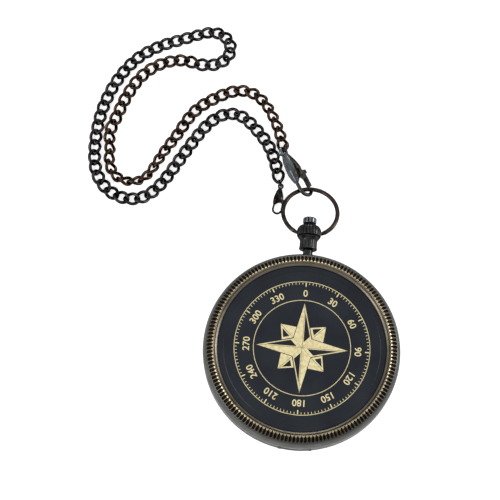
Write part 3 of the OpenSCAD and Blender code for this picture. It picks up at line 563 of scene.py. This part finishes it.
def crown_piece(name, node, shape, finishes, body, dark):
    """A shape turned round Z, laid along the crown, with the dark patina and painted shade where
    dark says.
    """
    points, faces = shape
    laid = along_crown(points)
    turned_over = outward(laid, faces)
    piece = mesh_piece(name, laid, turned_over, finishes, body,
                       face_material=dark(points, turned_over))
    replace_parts(piece, node)


def crown_meshes():
    """Ball, button and collar, each turned from a softened profile. The hollow in the button's
    cap leaves room for the spring's coil when the button is pressed."""
    a = np.radians(np.linspace(-9, 74, 16))
    arc = np.stack([1.86 + 1.24 * np.cos(a), BALL_Y + 0.12 + 1.8 * np.sin(a)], axis=1)
    outer = [(1.24, 28.5), (2.26, 28.5), (2.34, 28.66), (2.86, 29.32), (2.88, 29.42), (2.7, 29.48),
             (2.7, 29.58), (3.0, 29.64)] + arc.tolist() + [(2.12, 32.38), (1.82, 32.38),
             (1.82, 30.05), (0.64, 30.05), (0.64, 29.42), (1.24, 29.42)]
    outer = densify(smooth_profile(outer, 0.05, 3), 0.2)
    # Dark patina and painted shade in the valleys between the ribs, and painted shade in the groove
    # under the ball.
    crown_piece("crown_ball_ribbed", "crown_ball", lathe(outer, RIBS * 16, ball_dent),
                [CROWN, PATINA_AND_SHADE], "case", lambda p, f: np.maximum(
                    valleys(p, f, RIBS, 29.7, 32.2), groove(p, f, 29.3, 29.64, 2.5)))

    def button_dent(r, y, a):
        """As the ball's ribs, with the cosine."""
        ribs = BUTTON_RIB_DEEP * (1 - ramp(np.abs(np.cos(BUTTON_RIBS / 2 * a)), 0.2, 0.75))
        return ribs * ramp(y, 33.06, 33.16) * (r > 1.3)

    cap = [(0.0, 32.62), (0.61, 32.62), (0.61, 31.4), (0.98, 31.4), (0.98, 32.2), (1.48, 32.2),
           (1.48, 31.4), (1.66, 31.4), (1.68, 32.5), (1.46, 32.66),
           (1.46, 32.9), (1.7, 33.05), (1.72, 34.18), (1.5, 34.46), (0.9, 34.5), (0.0, 34.48)]
    cap = lathe(densify(smooth_profile(cap, 0.09, 4), 0.2), BUTTON_RIBS * 20, button_dent)
    # Dark patina and painted shade in the valleys between the button's flutes, and painted shade in
    # the groove under its cap.
    crown_piece("button_fluted", "button_cap", cap, [BUTTON, PATINA_AND_SHADE], "button",
                lambda p, f: np.maximum(valleys(p, f, BUTTON_RIBS, 33.12, 34.3, TURN / 4, 0.4),
                                        groove(p, f, 32.66, 32.98, 1.3)))

    def collar_dent(r, y, a):
        """Shallow flats: their depth goes with one less the sine of half their number times a."""
        flats = FLAT_DEEP * (1 - np.abs(np.sin(COLLAR_FLATS / 2 * a)))
        return flats * ramp(y, 26.5, 26.6) * (1 - ramp(y, 28.3, 28.4)) * (r > 1.9)

    ring = [(1.24, 26.0), (2.0, 26.0), (2.26, 26.16), (2.28, 26.5), (2.2, 26.6), (2.2, 28.36),
            (2.24, 28.48), (1.24, 28.48)]
    ring = lathe(densify(smooth_profile(ring, 0.06, 4), 0.2), COLLAR_FLATS * 12, collar_dent)
    # Dark patina and painted shade down the middle of each of the collar's flats.
    crown_piece("collar_turned", "collar", ring, [CROWN, PATINA_AND_SHADE], "case",
                lambda p, f: valleys(p, f, COLLAR_FLATS, 26.62, 28.3, 0.0, 0.26))


def bow_mesh():
    """The bow as one wire: an end in each side of the ball and a circle between them, flat at
    first, then tilted down by its droop about a line across the ball."""
    start = np.arcsin(BOW_X / BOW_R)
    a = np.linspace(-TURN / 4 + start, 3 * TURN / 4 - start, 140)
    arc = np.stack([BOW_R * np.cos(a), BOW_MID + BOW_R * np.sin(a)], axis=1)
    flat = np.concatenate([[(BOW_PIN_X, 0.0), (3.1, 0.0)], arc, [(-3.1, 0.0), (-BOW_PIN_X, 0.0)]])
    flat = smooth_profile(flat, 0.35, 5)
    fat = 0.44 + 0.11 * ramp(np.hypot(flat[:, 0], flat[:, 1]), 3.3, 3.9)
    droop = np.radians(BOW_DROOP)
    path = np.stack([flat[:, 0], BALL_Y + flat[:, 1] * np.cos(droop),
                     CROWN_Z - flat[:, 1] * np.sin(droop)], axis=1)
    keep = np.concatenate([[True], np.linalg.norm(np.diff(path, axis=0), axis=1) > 0.01])
    points, faces = capped(tube(path[keep], fat[keep], 20))
    piece = mesh_piece("bow_wire", points, outward(points, faces), [BOW], "chain")
    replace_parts(piece, "bow")


def ring_mesh(name, node, r, wire, at, toward, roll, material):
    """A jump ring as it is bent from wire: nearly a full circle, with its two ends almost meeting.
    It starts at a point, lies toward another and is rolled about the line between them."""
    at, toward = np.array(at), np.array(toward)
    d = toward - at
    turn = turned((0, 0, np.degrees(np.arctan2(d[1], d[0])))) @ turned(
        (roll, -np.degrees(np.arctan2(d[2], np.hypot(d[0], d[1]))), 0))
    a = np.linspace(0.04, TURN - 0.04, 72) + 0.8
    path = np.stack([r + r * np.cos(a), r * np.sin(a), 0 * a], axis=1) @ turn.T + at
    points, faces = capped(tube(path, wire, 14))
    piece = mesh_piece(name, points, outward(points, faces), [material], "chain")
    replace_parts(piece, node)


# ------ clasps

# A clasp lies along u from its eye's centre, v runs to its lever's side and w across it.
CLASP_FRONT, CLASP_NOSE = 8.42, 9.2
HOOK_U, HOOK_MID, HOOK_R, HOOK_WIRE = 11.22, 1.0, 1.95, 0.48
EYE_WIRE, EYE_RINGS, EYE_SIDES = 0.42, 48, 14
SLOT_U, SLOT_V, SLOT_W = 4.43, 0.22, 0.61      # where the slot starts, its floor, half its width
SQUARE = 2.8                                   # exponent of the casting's squared oval section
CLASP_AT, SMALL_AT = (-7.9, 52.7, 2.95), (-7.9, 43.95, 1.0)


def clasp_section(u):
    """Half thickness, and lowest and highest edge, of the clasp's casting at u along it."""
    f = u / CLASP_FRONT
    thick = np.interp(f, (0, 0.4, 0.8, 1.1), (0.6, 1.4, 1.45, 0.7))
    low = np.interp(f, (0, 0.1, 0.35, 0.7, 0.95, 1.1), (-0.06, -0.08, -0.17, -0.225, -0.21, -0.17))
    high = np.interp(f, (0, 0.1, 0.3, 0.6, 0.88, 0.95, 1.1),
                     (0.06, 0.08, 0.18, 0.31, 0.27, 0.08, -0.06))
    return thick, low * CLASP_FRONT, high * CLASP_FRONT


def clasp_casting():
    """The body as sections along u. Each is a squared oval: the half thickness times the angle's
    cosine and the half height times its sine, both raised to the power two over SQUARE. Beyond the
    slot's start the oval's top is let down between the slot's walls to its floor."""
    us = np.concatenate([np.linspace(0.62, SLOT_U - 0.01, 26),
                         np.linspace(SLOT_U + 0.01, CLASP_NOSE, 38)])
    sections = []
    for u in us:
        t, lo, hi = clasp_section(u)
        mid, half = 0.5 * (lo + hi), 0.5 * (hi - lo)
        edge = min(SLOT_W, 0.86 * t)
        start = np.arccos((edge / t) ** (SQUARE / 2))
        a = np.linspace(start, -np.pi - start, 40)
        w = t * np.sign(np.cos(a)) * np.abs(np.cos(a)) ** (2 / SQUARE)
        v = mid + half * np.sign(np.sin(a)) * np.abs(np.sin(a)) ** (2 / SQUARE)
        top_w = np.linspace(-edge, edge, 12)
        top_v = mid + half * np.clip(1 - (np.abs(top_w) / t) ** SQUARE, 0, 1) ** (1 / SQUARE)
        if u > SLOT_U:
            top_v = np.minimum(top_v, SLOT_V)
        w, v = np.concatenate([w, top_w]), np.concatenate([v, top_v])
        sections.append(np.column_stack([np.full(len(w), u), v, w]))
    return capped(np.array(sections))


def clasp_mesh(name, node, at, turn, share, material, bright):
    """Eye, casting and hook of a clasp, placed where the CAD one lies. The side away from the
    lever gets the bright material as a painted highlight, and a band along the casting's flanks
    and the slot's floor gets the dark material as painted shade."""
    a = np.arange(EYE_RINGS) * TURN / EYE_RINGS
    eye = closed_rings(np.stack([np.cos(a), np.sin(a), 0 * a], axis=1), EYE_WIRE, EYE_SIDES)
    a = np.linspace(-TURN / 4, TURN / 4, 30)
    shank = [(u, HOOK_MID - HOOK_R) for u in np.linspace(7.5, HOOK_U - 0.1, 20)]
    bend = np.stack([HOOK_U + HOOK_R * np.cos(a), HOOK_MID + HOOK_R * np.sin(a)], axis=1)
    hook = np.concatenate([shank, bend])
    path = np.column_stack([hook, 0 * hook[:, 0]])
    fat = np.full(len(path), HOOK_WIRE)
    fat[-3:] = (0.46, 0.42, 0.3)
    points, faces = joined([
        (eye.reshape(-1, 3), grid_faces(EYE_RINGS, EYE_SIDES, wrap_rows=True).tolist()),
        clasp_casting(), capped(tube(path, fat, 16))])
    u, v, _ = middles(points, faces).T
    # Painted highlight on the faces away from the lever, painted shade in the slot.
    lit = (v < -0.5 - 0.03 * u) & (u < 9.6)
    slot = (np.abs(v + 0.1) < 0.5) & (np.abs(u - 6.6) < 2.2)
    points = points * share @ turned(turn).T + np.array(at)
    piece = mesh_piece(name, points, faces, [material, bright, PATINA_AND_SHADE], "chain",
                       face_material=np.where(slot, 2, lit.astype(int)))
    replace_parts(piece, node)


# ------ printed figures

INK_LIFT = 0.012       # how far ink stands over its ground
DIAL_Z = 3.3
FINE = 0.16            # width of the star's outlines


class Print:
    """Flat shapes gathered into one thin mesh at a given height."""

    def __init__(self, height):
        self.height, self.points, self.faces = height, [], []

    def shape(self, xy, faces):
        """Points in the plane, and faces over them."""
        start = len(self.points)
        self.points.extend((x, y, self.height) for x, y in xy)
        self.faces.extend(tuple(start + k for k in f) for f in faces)

    def polygon(self, xy):
        """One filled shape."""
        self.shape(xy, [tuple(range(len(xy)))])

    def outline(self, outer, share):
        """A triangle with its middle left open: that share of it, drawn in to its middle."""
        mid = np.mean(outer, axis=0)
        inner = [tuple(mid + (np.array(q) - mid) * share) for q in outer]
        self.shape(outer + inner, [(0, 1, 4, 3), (1, 2, 5, 4), (2, 0, 3, 5)])

    def ring(self, r0, r1, cols=256):
        """A circle as a band between two radii."""
        a = np.arange(cols) * TURN / cols
        xy = np.concatenate([np.stack([r * np.cos(a), r * np.sin(a)], axis=1) for r in (r1, r0)])
        self.shape(xy.tolist(), grid_faces(2, cols)[:, ::-1].tolist())

    def tick(self, angle, r0, r1, width):
        """A straight mark from one radius to another."""
        c, s = np.cos(angle), np.sin(angle)
        box = [(r0, -width / 2), (r1, -width / 2), (r1, width / 2), (r0, width / 2)]
        self.polygon([(c * u - s * v, s * u + c * v) for u, v in box])

    def text(self, body, size, radius, angle):
        """Digits or a letter in Blender's own font, upright at that bearing clockwise from +Y."""
        curve = bpy.data.curves.new("figure", "FONT")
        curve.body, curve.size = body, size
        curve.align_x, curve.align_y = "CENTER", "CENTER"
        curve.resolution_u = 4
        curve.offset = 0.012 * size
        holder = bpy.data.objects.new("figure", curve)
        bpy.context.scene.collection.objects.link(holder)
        flat = bpy.data.meshes.new_from_object(holder)
        xy = np.array([v.co[:2] for v in flat.vertices])
        xy -= 0.5 * (xy.max(axis=0) + xy.min(axis=0))
        c, s = np.cos(-angle), np.sin(-angle)
        moved = np.stack([c * xy[:, 0] - s * (xy[:, 1] + radius),
                          s * xy[:, 0] + c * (xy[:, 1] + radius)], axis=1)
        self.shape(moved.tolist(), [tuple(p.vertices) for p in flat.polygons])
        bpy.data.objects.remove(holder)
        bpy.data.curves.remove(curve)
        bpy.data.meshes.remove(flat)

    def star(self, reach, waist, between, share):
        """A star of eight points. Four long points meet in the middle; each is cut down its middle,
        one half filled and the other an outline. Four short points fill the corners between them,
        from that share of the long points' edges out to their own tips."""
        edge, d, gap = waist * np.sin(TURN / 8), between * np.sin(TURN / 8), 0.12
        near = (edge * (1 - share), edge * (1 - share) + reach * share)
        for k in range(4):
            c, s = np.cos(k * TURN / 4), np.sin(k * TURN / 4)

            def turn(*corners, shift=0.0):
                return [(c * (x + shift) + s * (y + shift), -s * (x + shift) + c * (y + shift))
                        for x, y in corners]

            self.polygon(turn((0.0, 0.0), (0.0, reach), (-edge, edge)))
            self.outline(turn((FINE / 2, FINE), (edge - FINE / 3, edge),
                              (FINE / 2, reach - 3 * FINE)), 0.72)
            self.polygon(turn((edge, edge), near[::-1], (d, d), shift=gap))
            self.outline(turn((edge, edge + gap), (d - gap, d), near, shift=gap), 0.6)

    def done(self, name, material, body):
        """The shapes as a piece on that body."""
        mesh_piece(name, self.points, self.faces, [material], body, smooth=False)


def lid_print():
    """A plain graduated ring with bearings each thirty degrees round a star of eight points."""
    p = Print(PLATE_Z + INK_LIFT)
    p.ring(16.3, 16.45)
    for k in range(120):
        long = k % 10 == 0
        p.tick(k * TURN / 120, 15.2 if long else 15.7, 16.2, 0.26 if long else 0.14)
    for k in range(12):
        p.text(str(30 * k), 2.3, 13.5, k * TURN / 12)
    p.ring(11.65, 11.8)
    p.star(11.1, 3.1, 7.6, 0.3)
    p.done("lid_print", PRINT, "lid")


def dial_print():
    """The dial under the glass: two-degree ticks, each fifth one longer, then bearings, a star and
    the four letters."""
    p = Print(DIAL_Z + INK_LIFT)
    p.ring(18.2, 18.35)
    p.ring(16.2, 16.3)
    for k in range(180):
        long = k % 5 == 0
        p.tick(k * TURN / 180, 16.9 if long else 17.5, 18.2, 0.16 if long else 0.08)
    for k in range(12):
        if k % 3:
            p.text(str(30 * k), 1.9, 14.6, k * TURN / 12)
    p.star(9.6, 2.6, 6.4, 0.3)
    p.ring(10.3, 10.42)
    p.done("dial_ink", INK, "case")
    q = Print(DIAL_Z + INK_LIFT)
    for k, letter in enumerate("NESW"):
        q.text(letter, 3.4, 13.6, k * TURN / 4)
    q.done("dial_letters", RED_INK, "case")


# ------ chain

# The CAD's link: half its width, its wire's radius, its twist in degrees and the pitch.
LINK_B, LINK_WIRE, LINK_TWIST, LINK_PITCH = 1.26, 0.34, 43.0, 2.78
STRAND_A, FOLD = 40, 7               # how many links the first strand and the fold have
# The links are drawn a little fuller than the CAD wire, whose six sides lie inside it: their wire's
# radius, half their length and half their width.
LINK_FULL, FULL_A, FULL_B = 0.42, 1.85, 1.34
# The chain's route on the table: x, y, and the angle by which the links there lie on edge.
ROUTE = np.array([
    (-7.9, 54.2, 22), (-8.7, 57, 26), (-9.6, 59.5, 32), (-11, 62.3, 36), (-12.8, 65.3, 34),
    (-15.5, 68.2, 22), (-19.5, 69.6, 8), (-23.5, 68.6, 0), (-27, 66.6, 0), (-30.8, 63.8, 4),
    (-33.4, 60.2, 10), (-35.5, 56, 18), (-38, 52, 28), (-40, 48.2, 37), (-42.4, 43.7, 48),
    (-44.4, 42.5, 44), (-48, 42, 45), (-50.3, 43.4, 46), (-52.3, 46, 42), (-52.5, 51, 52),
    (-53.3, 54.7, 32), (-51.9, 59, 30), (-50.3, 64, 28), (-48, 69, 32), (-44.8, 73, 42),
    (-40.5, 75.6, 52), (-35.6, 76.7, 49), (-32.7, 75.9, 34), (-27.7, 76, 4), (-25.3, 77.6, 0),
    (-23.5, 79.5, 0), (-24.5, 83.6, 2), (-28, 85.5, 6), (-32.4, 84.4, 14), (-36.5, 82.8, 0),
    (-42, 80.6, 0), (-47.5, 77, 0), (-51.5, 72, 0), (-54.2, 66.5, 0), (-55.9, 60.5, 0),
    (-56.6, 54, 0), (-56.4, 48, 0), (-55, 43, 0), (-51.5, 39.1, 0), (-46.5, 37.5, 0),
    (-41.8, 38.8, 0), (-38, 43, 0), (-34.5, 49, 0), (-31, 55, 0), (-27.5, 60, 0),
    (-23.4, 62.8, 0), (-19.4, 62.5, 0), (-16.3, 60, 0), (-13.6, 57.2, 0), (-11.5, 54.4, 0),
    (-10.2, 51.5, 4), (-9.2, 48.5, 10), (-8, 44.2, 14)], float)


def route_curve(steps=8):
    """A smooth curve through the route's points: each stretch is the cubic that leaves a point
    along the line between its neighbours."""
    p = np.vstack([2 * ROUTE[0] - ROUTE[1], ROUTE, 2 * ROUTE[-1] - ROUTE[-2]])
    out = []
    for a, b, c, d in zip(p[:-3], p[1:-2], p[2:-1], p[3:]):
        for t in np.arange(steps) / steps:
            out.append(0.5 * (2 * b + (c - a) * t + (2 * a - 5 * b + 4 * c - d) * t ** 2
                              + (3 * b - a - 3 * c + d) * t ** 3))
    out.append(ROUTE[-1])
    return np.array(out)


def chain_joints():
    """Points one pitch apart in a straight line, found by walking along the curve."""
    curve = route_curve()
    joints, k = [curve[0]], 0
    while True:
        here = joints[-1]
        gap = lambda q: np.hypot(q[0] - here[0], q[1] - here[1])
        while k + 1 < len(curve) and gap(curve[k + 1]) < LINK_PITCH:
            k += 1
        if k + 1 >= len(curve):
            return np.array(joints)
        d0, d1 = gap(curve[k]), gap(curve[k + 1])
        joints.append(curve[k] + (curve[k + 1] - curve[k]) * (LINK_PITCH - d0) / (d1 - d0))


def link_twist(t, roll):
    """How far a link's wire is turned out of the table's plane at t round it: the twist times the
    cosine of t, plus the roll."""
    return np.radians(LINK_TWIST * np.cos(t) + roll)


def link_rise(roll):
    """Height of a link's middle when its lowest point touches the table: the wire's radius plus
    the furthest that the oval reaches up or down."""
    t = np.radians(np.arange(0, 360, 5))
    return LINK_WIRE + LINK_B * np.max(np.abs(np.sin(t) * np.sin(link_twist(t, roll))))


def link_rings(a, b, rings=36, sides=10):
    """One curb link between two joints: half the length times the cosine of t along it, and half
    the width times the sine of t across it, turned up by the twist."""
    roll = 0.5 * (a[2] + b[2])
    rise = link_rise(roll)
    t = np.arange(rings) * TURN / rings
    w = link_twist(t, roll)
    local = np.stack([FULL_A * np.cos(t), FULL_B * np.sin(t) * np.cos(w),
                      FULL_B * np.sin(t) * np.sin(w)], axis=1)
    head = np.arctan2(b[1] - a[1], b[0] - a[0])
    c, s = np.cos(head), np.sin(head)
    mid = 0.5 * (a + b)
    path = np.stack([mid[0] + c * local[:, 0] - s * local[:, 1],
                     mid[1] + s * local[:, 0] + c * local[:, 1],
                     rise + LINK_FULL - LINK_WIRE + local[:, 2]], axis=1)
    return closed_rings(path, LINK_FULL, sides)


def chain_piece(name, joints, first, last, material, node):
    """A run of links as one mesh that stands for the CAD node of the same run."""
    points, faces = [], []
    for k in range(first, last):
        rings = link_rings(joints[k], joints[k + 1])
        faces.append(grid_faces(*rings.shape[:2], wrap_rows=True,
                                start=sum(len(p) for p in points)))
        points.append(rings.reshape(-1, 3))
    points, faces = np.concatenate(points), np.concatenate(faces)
    piece = mesh_piece(name, points, outward(points, faces), [material], "chain")
    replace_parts(piece, node)


# ------ finishes of the CAD nodes

# The CAD nodes that are seen as they are, by finish, and the width of the levers' edge breaks.
FINISHES = [
    (GUNMETAL, ("case_back", "case_knuckles", "lid_knuckles")),
    (CROWN, ("neck_tube", "saddle_washer")),
    (STEEL, ("hinge_pin", "lock_spring", "lift_spring", "spring_screws", "lock_catch",
             "button_stem", "button_spring", "clasp_rivet", "clasp_spring", "small_clasp_rivet",
             "small_clasp_spring")),
    (BRASS, ("capsule_ring", "compass_cup", "pivot_post", "bezel_ring", "needle_hub")),
    (CARD, ("dial_card",)),
    (GLASS, ("glass",)),
    (RUBBER, ("glass_gasket",)),
    (NEEDLE, ("needle",)),
    (JEWEL, ("needle_jewel",)),
    (CLASP, ("clasp_lever", "small_clasp_lever"))]
EDGE_BREAKS = {"clasp_lever": 0.16, "small_clasp_lever": 0.09}


def finish_node(node, material, bevel=0.0):
    """Gives a CAD node its finish and, where a width is given, a small edge break."""
    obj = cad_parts[node]
    obj.data.materials.clear()
    obj.data.materials.append(material)
    if bevel:
        m = obj.modifiers.new("edge_break", "BEVEL")
        m.width, m.segments, m.limit_method, m.angle_limit = bevel * MM, 3, "ANGLE", np.radians(32)


def build():
    """Makes every piece, and gives the nodes that no piece replaces their finish."""
    joints = chain_joints()
    crown_meshes()
    bow_mesh()
    first, end = joints[0], joints[-1]
    ring_mesh("clasp_ring_open", "clasp_jump_ring", 1.5, 0.3, CLASP_AT,
              (first[0], first[1], link_rise(first[2])), 110, BOW)
    ring_mesh("small_ring_open", "small_clasp_jump_ring", 0.84, 0.2, SMALL_AT,
              (end[0], end[1], link_rise(end[2])), 70, CLASP)
    clasp_mesh("clasp_casting", "clasp_body", CLASP_AT, (-41.5, -1.9, -60.2), 1.0, CLASP,
               CLASP_PAINTED_HIGHLIGHT)
    clasp_mesh("small_clasp_casting", "small_clasp_body", SMALL_AT, (0, 4, -100), 0.55,
               CHAIN_BLACK, CHAIN_BLACK)
    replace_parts(rim_mesh(), "lid_rim")
    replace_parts(plate_mesh(), "lid_plate")
    lid_print()
    dial_print()
    fold_end, last = STRAND_A + FOLD, len(joints) - 1
    chain_piece("chain_links_a", joints, 0, STRAND_A, CHAIN_BROWN, "chain_strand_a")
    chain_piece("chain_links_fold", joints, STRAND_A, fold_end, CHAIN_BLACK,
                "chain_fold")
    chain_piece("chain_links_b", joints, fold_end, last, CHAIN_BLACK,
                "chain_strand_b")
    for material, nodes in FINISHES:
        for node in nodes:
            finish_node(node, material, EDGE_BREAKS.get(node, 0.0))


# ------ stage, light and camera

WHITE = hexc("#ffffff")
TABLE_LIFT = 0.7              # how far the table is lifted towards white where it is seen
SOFT_LIGHT = 0.45             # the room's plain light on the object
FLOOR_Z = -0.00002            # metres: a hair under the flat back
LIT_POINT = (0.0, 0.0, 0.01)  # metres: what the soft boxes face
SENSOR, LENS = 36.0, 100.8    # millimetres


def placed(holder, right, up, back, place):
    """Puts a light or the camera in the scene, with its three axes and its place in metres."""
    bpy.context.scene.collection.objects.link(holder)
    m = Matrix.Identity(4)
    for k in range(3):
        m[k][0], m[k][1], m[k][2], m[k][3] = right[k], up[k], back[k], place[k]
    holder.matrix_world = m


def soft_box(name, place, size, energy):
    """A soft white light of that width and height in metres, from a place towards the object. Its
    side and upward axes are cross products with the line between them."""
    lamp = bpy.data.lights.new(name, "AREA")
    lamp.shape, lamp.size, lamp.size_y = "RECTANGLE", size[0], size[1]
    lamp.energy = energy
    back = np.array(place) - np.array(LIT_POINT)
    back /= np.linalg.norm(back)
    right = np.cross([0.0, 0.0, 1.0], back)
    right /= np.linalg.norm(right)
    placed(bpy.data.objects.new(name, lamp), right, np.cross(back, right), back, place)


def seen_rays(tree):
    """1 for the rays that show the background: the camera's, and those by way of metal or glass."""
    path = add(tree, "ShaderNodeLightPath").outputs
    mirrored = add(tree, "ShaderNodeMath", {0: path["Is Camera Ray"], 1: path["Is Glossy Ray"]},
                   operation="MAXIMUM").outputs[0]
    return add(tree, "ShaderNodeMath", {0: mirrored, 1: path["Is Transmission Ray"]},
               operation="MAXIMUM").outputs[0]


def stage():
    """A white table that keeps the object's shadow, and a white room round a plain soft light."""
    bpy.ops.mesh.primitive_plane_add(size=3.0, location=(0.0, 0.0, FLOOR_Z))
    floor = bpy.context.object
    floor.name = "table"
    mat, tree, shader, coords = new_material("white_table")
    tinted(tree, shader, noise(tree, coords, 3.0), hexc("#fdfdfd"), hexc("#fbfbfb"))
    shader.inputs["Roughness"].default_value = 0.9
    shader.inputs["Specular IOR Level"].default_value = 0.1
    shader.inputs["Emission Color"].default_value = WHITE
    lift = add(tree, "ShaderNodeMath", {0: seen_rays(tree), 1: TABLE_LIFT}, operation="MULTIPLY")
    tree.links.new(lift.outputs[0], shader.inputs["Emission Strength"])
    floor.data.materials.append(mat)
    world = bpy.data.worlds.new("studio")
    bpy.context.scene.world = world
    world.use_nodes = True
    tree = world.node_tree
    tree.nodes.clear()
    soft = add(tree, "ShaderNodeBackground", {"Color": WHITE, "Strength": SOFT_LIGHT})
    white = add(tree, "ShaderNodeBackground", {"Color": WHITE, "Strength": 1.0})
    final = add(tree, "ShaderNodeMixShader", {"Fac": seen_rays(tree), 1: soft.outputs[0],
                                              2: white.outputs[0]})
    out = add(tree, "ShaderNodeOutputWorld", {"Surface": final.outputs[0]})
    out.is_active_output = True
    soft_box("key_soft_box", (-0.32, -0.12, 0.26), (0.24, 0.18), 0.85)
    soft_box("fill_soft_box", (0.39, 0.1, 0.18), (0.18, 0.24), 0.95)
    soft_box("back_strip", (-0.02, 0.44, 0.1), (0.3, 0.09), 0.45)


def camera():
    """The photograph's camera: place and axes as measured from the rim's ellipse and the chain."""
    lens = bpy.data.cameras.new("camera")
    lens.sensor_width, lens.lens, lens.sensor_fit = SENSOR, LENS, "HORIZONTAL"
    lens.clip_start, lens.clip_end = 0.01, 20.0
    holder = bpy.data.objects.new("camera", lens)
    right, up, back = (0.9971, 0.0759, 0.007), (-0.075, 0.9591, 0.273), (0.014, -0.2727, 0.962)
    placed(holder, right, up, back, np.array((-9.52, -70.33, 342.17)) * MM)
    bpy.context.scene.camera = holder


build()
stage()
camera()
bpy.context.scene.view_settings.view_transform = "Standard"
